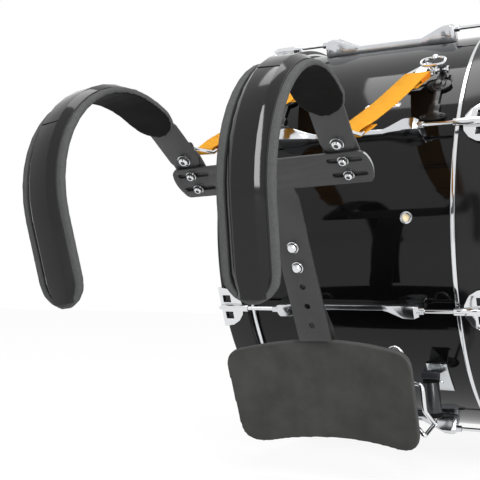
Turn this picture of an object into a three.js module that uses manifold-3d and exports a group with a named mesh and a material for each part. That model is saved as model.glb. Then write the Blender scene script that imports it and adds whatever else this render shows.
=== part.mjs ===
// A marching bass drum hung on its shoulder carrier, in millimetres with +Z up.
// X runs along the drum, +Y from the player to the drum. The origin is between the player's shoulders.
import * as THREE from "three";
import { mergeVertices } from "three/addons/utils/BufferGeometryUtils.js";
import Module from "manifold-3d";

const wasm = await Module();
wasm.setup();

// Clearance between pieces that touch, and how far a cutting tool runs past the faces it cuts
const gap = 0.3;
const overrun = 6;
const weld = 0.0005;

// Drum
const shell = { radius: 328, wall: 7, halfDepth: 178, bevel: 3 };
const film = { thickness: 0.9, skirt: 15 };
const fleshHoop = { thickness: 4.5, width: 7.5, setback: 9.8 };
const counterhoop = { thickness: 9.5, width: 42.4, clearance: 3.5, rounding: 2.5 };
const drumSides = 64;
const lugCount = 8;
const firstLugShare = 0.5;

// Vent
const vent = { inset: 82, bore: 5.2, barrel: 6.9, flange: 9, flangeThickness: 2, hole: 7.3 };
const ventSides = 20;

// Tension hardware: the rods stand this high over the shell
const rod = { height: 20, radius: 3, inside: 13, head: 6.4, headLength: 6.2 };
const lug = { halfLength: 114, height: 27, halfWidth: 9.4, nutRadius: 5.2, nutLength: 12, nutOut: 6 };
const lugSideShares = [
  [0.995, 0.0], [0.985, 0.85], [0.93, 1.0], [0.8, 0.98], [0.6, 0.62], [0.48, 0.41],
];
const lugTopShares = [[1.0, 0.8], [0.92, 1.0], [0.76, 0.98], [0.56, 0.5], [0.46, 0.4]];
const claw = { reach: 36, halfWidth: 33, thickness: 3.2, lip: 2.4, lipDepth: 9, lipHalfWidth: 22 };
const clawBarrel = { radius: 5.6, span: 45.4, setback: 2.5 };
const clawWindow = { near: 8, far: 20, inner: 16.5, outer: 3 };
const clawSteps = 8;
const roundSides = 8;
const wireSides = 6;
const rodSides = 8;

// Strap anchors, on each side of the drum's upper back
const anchor = { inset: 53, thickness: 4.2, footAngle: 26.7, discAngle: 37.5, neckAngle: 42.7 };
const anchorFoot = { halfWidth: 20, halfHeight: 7 };
const anchorDisc = { halfWidth: 19, halfHeight: 12.5 };
const anchorStem = { halfWidth: 5, lowerHalfWidth: 8, lowerAngle: 30.5 };
const anchorEye = { halfWidth: 5, height: 14, thickness: 4.4, hole: 3.4, stand: 8.5 };

// Webbing straps and the wire that holds them
const webbing = { width: 38, thickness: 2.6, narrow: 25, taper: 34, sag: 1 };
const webbingTop = { aside: 10, back: 16, down: 20 };
const webbingFoot = { aside: 2.5, ahead: 36.4, up: 1.9 };
const webbingLoop = { wall: 2.4 };
const webbingSteps = 8;
const wire = { radius: 2.4, pin: 2.6 };
const swivel = { pin: 2.4, half: 5, head: 4, ring: 6.4, thickness: 3 };
const hookPeak = { aside: 21, back: 4.5, up: 9.6 };
const hookReach = 10;

// Carrier: it hangs turned by this small angle, as in the photograph
const carrierRollDegrees = -1.94;
const chest = { stand: 260, up: 54, leanDegrees: 50.5, thickness: 3, height: 50, halfWidth: 132 };
const chestEnd = { bulge: 7, foot: 2, corner: 8 };
const slot = { centre: 106, halfLength: 23.2, halfWidth: 3.75, upper: 11.6, lower: 35 };
const stem = { halfWidth: 24, bend: 68.8, leanDegrees: 26.8, firstHole: 66.4, pitch: 29, hole: 4.4 };
const stemHoles = 5;
const stemTail = 24;
const bar = { thickness: 3.4, halfWidth: 19, above: 14, straight: 75, overTop: 24, foot: 104 };
const stud = { radius: 3.9, head: 7.2, height: 4.6 };
const crossBar = { halfWidth: 110, halfHeight: 34, depth: 80 };

// Belly plate and its pad
const belly = { stand: 116, up: -194, leanDegrees: 21.2, height: 134, halfWidth: 136.5, corner: 26 };
const bellyArch = { top: 7.5, topEdge: 6, bottomEdge: 7, bottom: 5.5, taper: 2.5, corner: 34 };
const bellySet = { aside: -4, turnDegrees: -0.9 };
const bellyPlate = { thickness: 2.5, inset: 2 };
const bellyPad = { thickness: 9, chord: 131, sag: 20 };
const bellySteps = 14;

// Drum hooks under the belly plate
const sleeve = { radius: 11.6, length: 58, cap: 9.4 };
const hookRod = { radius: 3.2 };
const sleeveTop = { aside: 5.5, stand: 22, angle: -41.5 };
const sleeveFoot = { aside: -1, down: 68 };
const rodUpper = { x: 139, y: -52, z: -22 };
const rodUpperEnd = { x: 124, y: -56 };
const rodKnee = { x: 139.5, y: -84, z: -16 };
const rodLower = { x: 134, y: -125, z: -18 };
const rodLowerEnd = { x: 116, y: -104 };
const rodGrip = 20;
const seat = { inset: 62, halfWidth: 15.5, thickness: 2.4, topAngle: -39.8, footAngle: -50.2 };
const hood = { halfWidth: 13.5, reach: 29, height: 13, wall: 2.2, screw: 3.4, screwHeight: 2.2 };

// Shoulder arms
const arm = { pivotUp: 12.8, pivotHole: 4.4, flareRight: 4.6, flareLeft: 7 };
const bracketAt = { left: 108.5, right: 104.5 };
const armRise = { foot: 52, length: 72, radius: 149 };
const armCrown = { length: 80, radius: 121, fallLength: 85, fallRadius: 133 };
const armBack = { length: 92, radius: 135, tail: 98 };
const strap = { halfWidth: 22, thickness: 3, below: 17, narrow: 12, taperStart: 54, taper: 22, end: 421 };
const foam = { halfWidth: 31, thickness: 7.5, start: 48, end: 479, rounding: 32, tailRounding: 30, edge: 2 };
const cover = { base: 21, facet: 12, height: 4.7, wall: 2.6, start: 70, end: 473, rounding: 24, shift: 1.2 };
const coverTailRounding = 24;
const armStep = 20;
const bracket = { halfWidth: 22, thickness: 3, foot: 45, joggleStart: 14.5, joggleEnd: 9.2, topRadius: 17 };
const slotBolt = { shank: 3.2, head: 6.2, headHeight: 4.6 };
const pivotBolt = { shank: 4, head: 7.7, headHeight: 4.2, nut: 6.6, nutHeight: 5 };
const pivotEye = { radius: 8.4, hole: 4.6, thickness: 3, reach: 11.3 };
const link = { radius: 2.1, stand: 6, play: 0.95 };

// The wearer's shoulders carry the arms here: this point is the origin
const shoulder = { y: -720, z: 122 };

const rad = THREE.MathUtils.degToRad;
const X = new THREE.Vector3(1, 0, 0);
const Y = new THREE.Vector3(0, 1, 0);
const Z = new THREE.Vector3(0, 0, 1);

const looks = {
  lacquer: { color: 0x17181a, roughness: 0.12, metalness: 0 },
  hoop: { color: 0x1b1c1e, roughness: 0.2, metalness: 0 },
  film: { color: 0x101112, roughness: 0.4, metalness: 0 },
  chrome: { color: 0xd9dbdd, roughness: 0.12, metalness: 1 },
  zinc: { color: 0xb9bfc4, roughness: 0.3, metalness: 1 },
  black: { color: 0x161617, roughness: 0.35, metalness: 0.3 },
  gloss: { color: 0x141415, roughness: 0.15, metalness: 0 },
  foam: { color: 0x4a4c4c, roughness: 0.95, metalness: 0 },
  pad: { color: 0x3d3d3b, roughness: 0.9, metalness: 0 },
  orange: { color: 0xff8f17, roughness: 0.8, metalness: 0 },
  rubber: { color: 0x202224, roughness: 0.5, metalness: 0 },
};

// Turns any closed geometry into a solid whose faces point out
function solid(geometry) {
  const bare = geometry.clone();
  bare.deleteAttribute("normal");
  if (bare.hasAttribute("uv")) bare.deleteAttribute("uv");
  const merged = mergeVertices(bare, weld);
  const spots = merged.attributes.position;
  const faces = [];
  let volume = 0;
  const corner = [new THREE.Vector3(), new THREE.Vector3(), new THREE.Vector3()];
  for (let i = 0; i < merged.index.count; i += 3) {
    const ids = [0, 1, 2].map((k) => merged.index.getX(i + k));
    if (new Set(ids).size < 3) continue;
    faces.push(ids);
    ids.forEach((id, k) => corner[k].fromBufferAttribute(spots, id));
    volume += corner[0].dot(corner[1].clone().cross(corner[2]));
  }
  const flat = faces.flatMap((ids) => (volume < 0 ? [ids[0], ids[2], ids[1]] : ids));
  const mesh = new wasm.Mesh({
    numProp: 3,
    vertProperties: new Float32Array(spots.array),
    triVerts: new Uint32Array(flat),
  });
  return new wasm.Manifold(mesh);
}

function join(parts) {
  return parts.slice(1).reduce((sum, next) => sum.add(next), parts[0]);
}

function cut(body, tools) {
  return tools.reduce((rest, tool) => rest.subtract(tool), body);
}

function geometryOf(body) {
  const mesh = body.getMesh();
  const geometry = new THREE.BufferGeometry();
  geometry.setAttribute("position", new THREE.BufferAttribute(new Float32Array(mesh.vertProperties), 3));
  geometry.setIndex(new THREE.BufferAttribute(new Uint32Array(mesh.triVerts), 1));
  geometry.computeVertexNormals();
  return geometry;
}

function piece(name, body, look, parent) {
  const mesh = new THREE.Mesh(geometryOf(body), new THREE.MeshStandardMaterial(looks[look]));
  mesh.name = name;
  parent.add(mesh);
  return mesh;
}

function turned(points, sides) {
  return new THREE.LatheGeometry(points.map(([r, h]) => new THREE.Vector2(r, h)), sides);
}

// Ring or disc about the X axis from points of radius and X
function turnedX(points, sides) {
  return turned(points, sides).rotateZ(-Math.PI / 2);
}

function extruded(shape, depth) {
  return new THREE.ExtrudeGeometry(shape, { depth, bevelEnabled: false, curveSegments: 6 });
}

// Slab in the X and Z directions that reaches from nearY towards the player to farY
function slabFacing(shape, nearY, farY) {
  const slab = extruded(shape, nearY - farY);
  slab.applyMatrix4(new THREE.Matrix4().makeBasis(X, Z, Y.clone().negate()));
  return slab.translate(0, nearY, 0);
}

// Slab drawn in Y and Z, as wide along X as asked, centred on a given X
function slabAcross(shape, halfWidth, centre) {
  const slab = extruded(shape, 2 * halfWidth);
  slab.applyMatrix4(new THREE.Matrix4().makeBasis(Y, Z, X));
  return slab.translate(centre - halfWidth, 0, 0);
}

function slabUp(shape, low, high) {
  return extruded(shape, high - low).translate(0, 0, low);
}

const discShape = (a, b, radius) => new THREE.Shape().absellipse(a, b, radius, radius, 0, 2 * Math.PI);

function polygon(points) {
  return new THREE.Shape(points.map(([a, b]) => new THREE.Vector2(a, b)));
}

function roundBar(radius, from, to, sides = roundSides) {
  const length = from.distanceTo(to);
  const geometry = new THREE.CylinderGeometry(radius, radius, length, sides);
  geometry.applyQuaternion(new THREE.Quaternion().setFromUnitVectors(Y, to.clone().sub(from).normalize()));
  const middle = from.clone().add(to).multiplyScalar(0.5);
  return solid(geometry.translate(middle.x, middle.y, middle.z));
}

// Bent round wire through the points, mitred at each bend
function bentWire(points, radius, sides = wireSides) {
  const runs = points.slice(1).map((next, i) => next.clone().sub(points[i]).normalize());
  const right = Math.abs(runs[0].dot(Z)) > Math.SQRT1_2 ? X.clone() : Z.clone();
  right.addScaledVector(runs[0], -right.dot(runs[0])).normalize();
  const up = runs[0].clone().cross(right);
  let ring = [];
  for (let k = 0; k < sides; k += 1) {
    const turn = (2 * Math.PI * k) / sides;
    const spoke = right.clone().multiplyScalar(radius * Math.cos(turn));
    ring.push(spoke.addScaledVector(up, radius * Math.sin(turn)).add(points[0]));
  }
  const rings = [ring];
  for (let i = 1; i < points.length; i += 1) {
    const run = runs[i - 1];
    const normal = i < runs.length ? run.clone().add(runs[i]) : run;
    ring = ring.map((spot) => {
      const step = points[i].clone().sub(spot).dot(normal) / run.dot(normal);
      return spot.clone().addScaledVector(run, step);
    });
    rings.push(ring);
  }
  const faces = [];
  for (let i = 0; i + 1 < rings.length; i += 1) {
    for (let k = 0; k < sides; k += 1) {
      const a = i * sides + k;
      const b = i * sides + ((k + 1) % sides);
      faces.push(a, b, b + sides, a, b + sides, a + sides);
    }
  }
  const last = (rings.length - 1) * sides;
  for (let k = 1; k + 1 < sides; k += 1) faces.push(0, k + 1, k, last, last + k, last + k + 1);
  const geometry = new THREE.BufferGeometry();
  const spots = rings.flat().flatMap((spot) => spot.toArray());
  geometry.setAttribute("position", new THREE.BufferAttribute(new Float32Array(spots), 3));
  geometry.setIndex(faces);
  return solid(geometry);
}

function placed(body, matrix) {
  return solid(geometryOf(body).applyMatrix4(matrix));
}

// Flat strip of even thickness that follows a bent line in Y and Z, its back on the side that back gives
function bentStrip(line, thickness, halfWidth, centre, back) {
  const offset = line.map(([y, z], i) => {
    const before = i > 0 ? line[i - 1] : null;
    const after = i + 1 < line.length ? line[i + 1] : null;
    const normals = [];
    if (before) normals.push(stripNormal(before, [y, z], back));
    if (after) normals.push(stripNormal([y, z], after, back));
    const sum = normals.reduce((a, b) => a.clone().add(b), new THREE.Vector2()).normalize();
    const stretch = thickness / sum.dot(normals[0]);
    return [y + sum.x * stretch, z + sum.y * stretch];
  });
  return solid(slabAcross(polygon([...line, ...offset.reverse()]), halfWidth, centre));
}

function stripNormal(from, to, back) {
  const run = new THREE.Vector2(to[0] - from[0], to[1] - from[1]).normalize();
  return new THREE.Vector2(-run.y, run.x).multiplyScalar(back);
}

const root = new THREE.Group();
root.name = "marching_bass_drum";
root.position.set(0, -shoulder.y, -shoulder.z);
const drum = new THREE.Group();
const carrier = new THREE.Group();
root.add(drum, carrier);
carrier.rotation.y = rad(carrierRollDegrees);

// The chest group and the belly group have Y up along their plates and Z towards the player
function leaningGroup(back, up, leanDegrees) {
  const group = new THREE.Group();
  group.position.set(0, -back, up);
  group.rotation.x = Math.PI / 2 + rad(leanDegrees);
  group.updateMatrix();
  carrier.add(group);
  return group;
}

const chestGroup = leaningGroup(shell.radius + chest.stand, chest.up, chest.leanDegrees);
const bellyGroup = leaningGroup(shell.radius + belly.stand, belly.up, belly.leanDegrees);
const chestFrame = chestGroup.matrix.clone();
const bellyFrame = bellyGroup.matrix.clone();

// Planes of the arm's strap and the nut behind the bracket, measured from the chest plate's face
const strapBack = -chest.thickness - gap - strap.thickness;
const nutFace = strapBack - gap - bracket.thickness - pivotBolt.nutHeight;
const pivotEyeZ = nutFace - pivotEye.reach;

// Shell, heads and hoops
const filmBore = shell.radius + gap;
const filmRadius = filmBore + film.thickness;
const fleshBore = filmRadius + gap;
const fleshOuter = shell.halfDepth - fleshHoop.setback;
const hoopInner = fleshOuter + gap;
const hoopOuter = hoopInner + counterhoop.width;
const hoopBore = shell.radius + counterhoop.clearance;
const hoopRadius = hoopBore + counterhoop.thickness;

const ventX = shell.halfDepth - vent.inset;
const anchorX = shell.halfDepth - anchor.inset;
const seatX = shell.halfDepth - seat.inset;

function makeShell() {
  const inner = shell.radius - shell.wall;
  const ledge = shell.halfDepth - (shell.wall - shell.bevel);
  const tube = turnedX([
    [shell.radius, -(shell.halfDepth - shell.bevel)],
    [shell.radius, shell.halfDepth - shell.bevel],
    [shell.radius - shell.bevel, shell.halfDepth],
    [inner, ledge],
    [inner, -ledge],
    [shell.radius - shell.bevel, -shell.halfDepth],
    [shell.radius, -(shell.halfDepth - shell.bevel)],
  ], drumSides);
  const from = new THREE.Vector3(ventX, -shell.radius - overrun, 0);
  const to = new THREE.Vector3(ventX, -inner + overrun, 0);
  return cut(solid(tube), [roundBar(vent.hole, from, to, ventSides)]);
}

function makeHead() {
  const face = shell.halfDepth + gap;
  const shoulderX = shell.halfDepth - shell.bevel;
  const edge = shell.radius - shell.bevel;
  const end = shell.halfDepth - film.skirt;
  const half = film.thickness / 2;
  return solid(turnedX([
    [0, face],
    [edge, face],
    [filmBore, shoulderX],
    [filmBore, end],
    [filmRadius, end],
    [filmRadius, shoulderX + half],
    [edge + half, face + film.thickness],
    [0, face + film.thickness],
  ], drumSides));
}

function ringX(points) {
  return solid(turnedX([...points, points[0]], drumSides));
}

piece("drum_shell", makeShell(), "lacquer", drum);
for (const [word, side] of [["left", -1], ["right", 1]]) {
  const head = piece(`batter_head_${word}`, makeHead(), "film", drum);
  const fleshThick = fleshBore + fleshHoop.thickness;
  const flesh = piece(`flesh_hoop_${word}`, ringX([
    [fleshBore, fleshOuter - fleshHoop.width],
    [fleshThick, fleshOuter - fleshHoop.width],
    [fleshThick, fleshOuter],
    [fleshBore, fleshOuter],
  ]), "chrome", drum);
  const hoop = piece(`counterhoop_${word}`, ringX([
    [hoopBore, hoopInner],
    [hoopRadius, hoopInner],
    [hoopRadius, hoopOuter - counterhoop.rounding],
    [hoopRadius - counterhoop.rounding, hoopOuter],
    [hoopBore, hoopOuter],
  ]), "hoop", drum);
  if (side < 0) [head, flesh, hoop].forEach((mesh) => { mesh.rotation.z = Math.PI; });
}

// Vent grommet through the shell wall
const ventOuter = shell.radius + gap;
const ventInner = shell.radius - shell.wall - 2 * gap;
piece("vent_grommet", placed(solid(turned([
  [vent.bore, ventInner - vent.flangeThickness],
  [vent.flange, ventInner - vent.flangeThickness],
  [vent.flange, ventInner],
  [vent.barrel, ventInner],
  [vent.barrel, ventOuter],
  [vent.flange, ventOuter],
  [vent.flange, ventOuter + vent.flangeThickness],
  [vent.bore, ventOuter + vent.flangeThickness],
  [vent.bore, ventInner - vent.flangeThickness],
], ventSides)), new THREE.Matrix4().makeBasis(X, Y.clone().negate(), Z.clone().negate())
  .setPosition(ventX, 0, 0)), "chrome", drum);

// Lugs: a casting that is drawn from the side and from above
const rodCircle = shell.radius + rod.height;
const lugBase = shell.radius + gap;
const lugEnd = lug.halfLength;

function mirroredOutline(shares, halfLength, height) {
  const right = shares.map(([a, b]) => [a * halfLength, b * height]);
  const left = right.map(([a, b]) => [-a, b]).reverse();
  return [...right, ...left];
}

function makeLug() {
  const side = mirroredOutline(lugSideShares, lugEnd, lug.height);
  const tall = extruded(polygon(side), 2 * lug.halfWidth).translate(0, 0, -lug.halfWidth);
  tall.applyMatrix4(new THREE.Matrix4().makeBasis(X, Y.clone().negate(), Z.clone().negate()));
  tall.translate(0, -lugBase, 0);
  const top = mirroredOutline(lugTopShares, lugEnd, lug.halfWidth);
  const under = top.map(([a, b]) => [a, -b]).reverse();
  const plan = slabFacing(polygon([...top, ...under]), overrun - lugBase, -lugBase - lug.height - overrun);
  const nuts = [-1, 1].map((end) => roundBar(
    lug.nutRadius,
    new THREE.Vector3(end * (lugEnd - lug.nutLength + lug.nutOut), -rodCircle, 0),
    new THREE.Vector3(end * (lugEnd + lug.nutOut), -rodCircle, 0),
  ));
  const bores = [-1, 1].map((end) => roundBar(
    rod.radius + gap,
    new THREE.Vector3(end * (lugEnd - rod.inside - 2 * gap), -rodCircle, 0),
    new THREE.Vector3(end * (lugEnd + lug.nutOut + overrun), -rodCircle, 0),
  ));
  return cut(join([solid(tall).intersect(solid(plan)), ...nuts]), bores);
}

// Claw: half round plate over the hoop, its lip, the barrel and the rod that it pulls
function makeClaw() {
  const plate = [];
  for (let i = 0; i <= clawSteps; i += 1) {
    const turn = Math.PI / 2 + (Math.PI * i) / clawSteps;
    plate.push([hoopOuter + claw.reach * Math.cos(turn), claw.halfWidth * Math.sin(turn)]);
  }
  plate.push([hoopOuter + gap + claw.lip, -claw.halfWidth]);
  plate.push([hoopOuter + gap + claw.lip, claw.halfWidth]);
  const low = -hoopRadius - gap;
  const face = solid(slabFacing(polygon(plate), low, low - claw.thickness));
  const lipPlate = polygon([
    [hoopOuter + gap, -claw.lipHalfWidth],
    [hoopOuter + gap + claw.lip, -claw.lipHalfWidth],
    [hoopOuter + gap + claw.lip, claw.lipHalfWidth],
    [hoopOuter + gap, claw.lipHalfWidth],
  ]);
  const lip = solid(slabFacing(lipPlate, low + claw.lipDepth, low - claw.thickness / 2));
  const windows = [-1, 1].map((end) => solid(slabFacing(polygon([
    [hoopOuter - clawWindow.inner, end * clawWindow.near],
    [hoopOuter - clawWindow.outer, end * clawWindow.near],
    [hoopOuter - clawWindow.outer, end * clawWindow.far],
    [hoopOuter - clawWindow.inner, end * clawWindow.far],
  ]), low + overrun, low - claw.thickness - overrun)));
  const at = (x) => new THREE.Vector3(x, -rodCircle, 0);
  const outer = hoopOuter - clawBarrel.setback;
  const inner = outer - clawBarrel.span;
  const barrel = roundBar(clawBarrel.radius, at(inner), at(outer));
  const key = roundBar(rod.head / 2, at(outer - overrun), at(outer + rod.headLength), 6);
  const shank = roundBar(rod.radius, at(lugEnd - rod.inside), at(inner + overrun));
  return join([cut(face, windows), lip, barrel, key, shank]);
}

for (let k = 0; k < lugCount; k += 1) {
  const station = new THREE.Group();
  station.rotation.x = Math.PI - ((k + firstLugShare) / lugCount) * 2 * Math.PI;
  drum.add(station);
  piece(`lug_${k + 1}`, makeLug(), "chrome", station);
  piece(`claw_right_${k + 1}`, makeClaw(), "chrome", station);
  piece(`claw_left_${k + 1}`, makeClaw(), "chrome", station).rotation.y = Math.PI;
}

// Band that follows the shell's curve between two angles above the player's side
function shellBand(low, high, inner, outer, halfWidth, centre) {
  const steps = Math.max(2, Math.ceil((high - low) / (360 / drumSides)) * 2);
  const arcs = [];
  for (let i = 0; i <= steps; i += 1) {
    const turn = rad(low + ((high - low) * i) / steps);
    arcs.push([-Math.cos(turn), Math.sin(turn)]);
  }
  const out = arcs.map(([y, z]) => [y * outer, z * outer]);
  const back = arcs.map(([y, z]) => [y * inner, z * inner]).reverse();
  return solid(slabAcross(polygon([...out, ...back]), halfWidth, centre));
}

const anchorBase = shell.radius + gap;
const anchorFace = anchorBase + anchor.thickness;

function shellPlate(angle, size, centre) {
  const shape = new THREE.Shape().absellipse(0, 0, size.halfWidth, size.halfHeight, 0, 2 * Math.PI);
  const plate = solid(slabFacing(shape, -anchorBase, -anchorFace));
  const turn = new THREE.Matrix4().makeRotationX(-rad(angle)).setPosition(centre, 0, 0);
  return placed(plate, turn);
}

function onShell(x, angle, radius) {
  return new THREE.Vector3(x, -radius * Math.cos(rad(angle)), radius * Math.sin(rad(angle)));
}

function makeAnchor(side) {
  const x = side * anchorX;
  const disc = shellPlate(anchor.discAngle, anchorDisc, x);
  const foot = shellPlate(anchor.footAngle, anchorFoot, x);
  const { footAngle, neckAngle } = anchor;
  const upper = shellBand(footAngle, neckAngle, anchorBase, anchorFace, anchorStem.halfWidth, x);
  const lower = shellBand(
    footAngle, anchorStem.lowerAngle, anchorBase, anchorFace, anchorStem.lowerHalfWidth, x);
  const eyeAt = onShell(0, anchor.neckAngle, anchorBase + anchorEye.stand);
  const eye = slabAcross(discShape(eyeAt.y, eyeAt.z, anchorEye.height / 2), anchorEye.thickness / 2, x);
  const pin = roundBar(
    anchorEye.hole,
    new THREE.Vector3(x - anchorEye.halfWidth - overrun, eyeAt.y, eyeAt.z),
    new THREE.Vector3(x + anchorEye.halfWidth + overrun, eyeAt.y, eyeAt.z));
  const floor = new THREE.CylinderGeometry(
    anchorBase, anchorBase, 2 * anchorDisc.halfWidth + 2 * overrun, drumSides);
  floor.rotateX(Math.PI / 2 / drumSides).rotateZ(Math.PI / 2).translate(x, 0, 0);
  return cut(join([disc, foot, upper, lower, solid(eye)]), [pin, solid(floor)]);
}

const loopRadius = wire.radius + gap + webbingLoop.wall;
const wireClear = loopRadius + wire.radius + gap;
const carrierTurn = new THREE.Matrix4().makeRotationY(rad(carrierRollDegrees));

// The eyes and pins that a strap hangs between: the anchor's eye, the swivel and the eye behind the bracket
function strapPivot(side, word) {
  const eyeAt = new THREE.Vector3(side * bracketAt[word], arm.pivotUp, pivotEyeZ);
  eyeAt.applyMatrix4(chestFrame).applyMatrix4(carrierTurn);
  const hookAt = onShell(side * anchorX, anchor.neckAngle, anchorBase + anchorEye.stand);
  const peak = hookAt.clone().add(new THREE.Vector3(-side * hookPeak.aside, -hookPeak.back, hookPeak.up));
  const axis = eyeAt.clone().sub(peak).cross(X).normalize();
  return { eyeAt, hookAt, peak, axis };
}

// The webbing's line: its two ends, its run and the direction across it, which its bars follow
function webbingLine(side, word) {
  const { eyeAt, peak } = strapPivot(side, word);
  const top = new THREE.Vector3(-side * webbingTop.aside, -webbingTop.back, -webbingTop.down).add(peak);
  const foot = new THREE.Vector3(-side * webbingFoot.aside, webbingFoot.ahead, webbingFoot.up).add(eyeAt);
  const along = foot.clone().sub(top).normalize();
  const across = X.clone().addScaledVector(along, -along.dot(X)).normalize();
  return { top, foot, along, across };
}

// Wire that runs through a loop, stands off it at both sides and goes on to two tips
function wireThroughLoop(middle, across, out, width, tips, radius) {
  const stand = out.clone().multiplyScalar(wireClear);
  return join([-1, 1].map((way, i) => {
    const aside = across.clone().multiplyScalar(way);
    const start = middle.clone().addScaledVector(aside, -gap);
    const end = middle.clone().addScaledVector(aside, width / 2 + wire.radius + 2 * gap);
    return bentWire([start, end, end.clone().add(stand), tips[i]], radius);
  }));
}

// Hook: a pin through the anchor's eye and the swivel pin that the strap's frame turns on
function makeStrapHook(side, word) {
  const { hookAt, peak, axis } = strapPivot(side, word);
  const near = hookAt.clone().sub(new THREE.Vector3(side * hookReach, 0, 0));
  const far = hookAt.clone().add(new THREE.Vector3(side * hookReach, 0, 0));
  const low = peak.clone().addScaledVector(axis, -swivel.half);
  const high = peak.clone().addScaledVector(axis, swivel.half);
  return join([
    bentWire([low, near, far], wire.pin),
    roundBar(swivel.pin, low.clone().addScaledVector(axis, -wire.pin), high),
    solid(new THREE.IcosahedronGeometry(swivel.head).translate(high.x, high.y, high.z)),
  ]);
}

// Frame: a ring on the swivel pin, two arms, and a bar through the webbing's loop
function makeStrapFrame(side, word) {
  const { peak, axis } = strapPivot(side, word);
  const { top, along, across } = webbingLine(side, word);
  const half = axis.clone().multiplyScalar(swivel.thickness / 2);
  const tool = axis.clone().multiplyScalar(overrun);
  const disc = roundBar(swivel.ring, peak.clone().sub(half), peak.clone().add(half), 12);
  const arms = wireThroughLoop(top, across, along.negate(), webbing.width, [peak, peak], wire.radius);
  const hole = roundBar(swivel.pin + 2 * gap, peak.clone().sub(tool), peak.clone().add(tool));
  const above = peak.clone().addScaledVector(axis, swivel.half - swivel.head - gap);
  const clear = roundBar(swivel.ring + gap, above, above.clone().add(tool), 12);
  return cut(disc.add(arms), [hole, clear]);
}

// Flat strap with a loop at each end, drawn from the side and narrowed at its foot
function makeWebbing(side, word) {
  const { top, foot, along, across } = webbingLine(side, word);
  const length = top.distanceTo(foot);
  const half = webbing.thickness / 2;
  const upper = [];
  const lower = [];
  for (let i = 0; i <= webbingSteps; i += 1) {
    const share = i / webbingSteps;
    const drop = webbing.sag * 4 * share * (1 - share);
    upper.push([share * length, drop + half]);
    lower.push([share * length, drop - half]);
  }
  const band = slabUp(polygon([...upper, ...lower.reverse()]), -webbing.width / 2, webbing.width / 2);
  const outer = loopRadius;
  const wide = webbing.width / 2;
  const loops = [0, length].map((at) => slabUp(discShape(at, 0, outer), -wide, wide));
  const holes = [0, length].map((at) => slabUp(
    discShape(at, 0, wire.radius + gap), -wide - overrun, wide + overrun));
  const body = cut(join([solid(band), ...loops.map(solid)]), holes.map(solid));
  const plan = [
    [-outer - overrun, -webbing.width / 2],
    [length - webbing.taper, -webbing.width / 2],
    [length - outer, -webbing.narrow / 2],
    [length + outer + overrun, -webbing.narrow / 2],
    [length + outer + overrun, webbing.narrow / 2],
    [length - outer, webbing.narrow / 2],
    [length - webbing.taper, webbing.width / 2],
    [-outer - overrun, webbing.width / 2],
  ];
  const trim = extruded(polygon(plan), 2 * webbing.width);
  trim.translate(0, 0, -webbing.width).rotateX(Math.PI / 2);
  const shaped = body.intersect(solid(trim));
  const frame = new THREE.Matrix4().makeBasis(along, along.clone().cross(across).negate(), across);
  return placed(shaped, frame.setPosition(top.x, top.y, top.z));
}

// Wire link from the webbing's foot through the eye behind the bracket
function makeLink(side, word) {
  const { foot, along, across } = webbingLine(side, word);
  const { eyeAt } = strapPivot(side, word);
  const taut = foot.clone().sub(eyeAt).normalize();
  eyeAt.addScaledVector(taut, pivotEye.hole - link.radius - link.play);
  const off = across.clone().multiplyScalar(link.stand);
  const tips = [eyeAt.clone().sub(off), eyeAt.clone().add(off)];
  const arms = wireThroughLoop(foot, across, along, webbing.narrow, tips, link.radius);
  return arms.add(roundBar(link.radius, tips[0], tips[1], wireSides));
}

for (const [word, side] of [["left", -1], ["right", 1]]) {
  piece(`strap_anchor_${word}`, makeAnchor(side), "black", drum);
  piece(`strap_hook_${word}`, makeStrapHook(side, word), "chrome", drum);
  piece(`strap_frame_${word}`, makeStrapFrame(side, word), "chrome", drum);
  piece(`webbing_${word}`, makeWebbing(side, word), "orange", drum);
  piece(`strap_link_${word}`, makeLink(side, word), "chrome", drum);
}

const bendTurn = rad(chest.leanDegrees - stem.leanDegrees);
const stemLength = stem.firstHole + stem.pitch * (stemHoles - 1) + stemTail;

function onStem(distance, height = 0) {
  return [
    -stem.bend - distance * Math.cos(bendTurn) + height * Math.sin(bendTurn),
    distance * Math.sin(bendTurn) + height * Math.cos(bendTurn),
  ];
}

function stemPin(distance, radius, low, high, sides = roundSides) {
  const [fromY, fromZ] = onStem(distance, low);
  const [toY, toZ] = onStem(distance, high);
  return roundBar(radius, new THREE.Vector3(0, fromY, fromZ), new THREE.Vector3(0, toY, toZ), sides);
}

function slotTool(side, depth) {
  const shape = new THREE.Shape();
  const flat = slot.halfLength - slot.halfWidth;
  const centre = side * slot.centre;
  shape.absarc(centre + flat, -depth, slot.halfWidth, -Math.PI / 2, Math.PI / 2);
  shape.absarc(centre - flat, -depth, slot.halfWidth, Math.PI / 2, Math.PI * 1.5);
  return solid(slabUp(shape, -chest.thickness - overrun, overrun));
}

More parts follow.
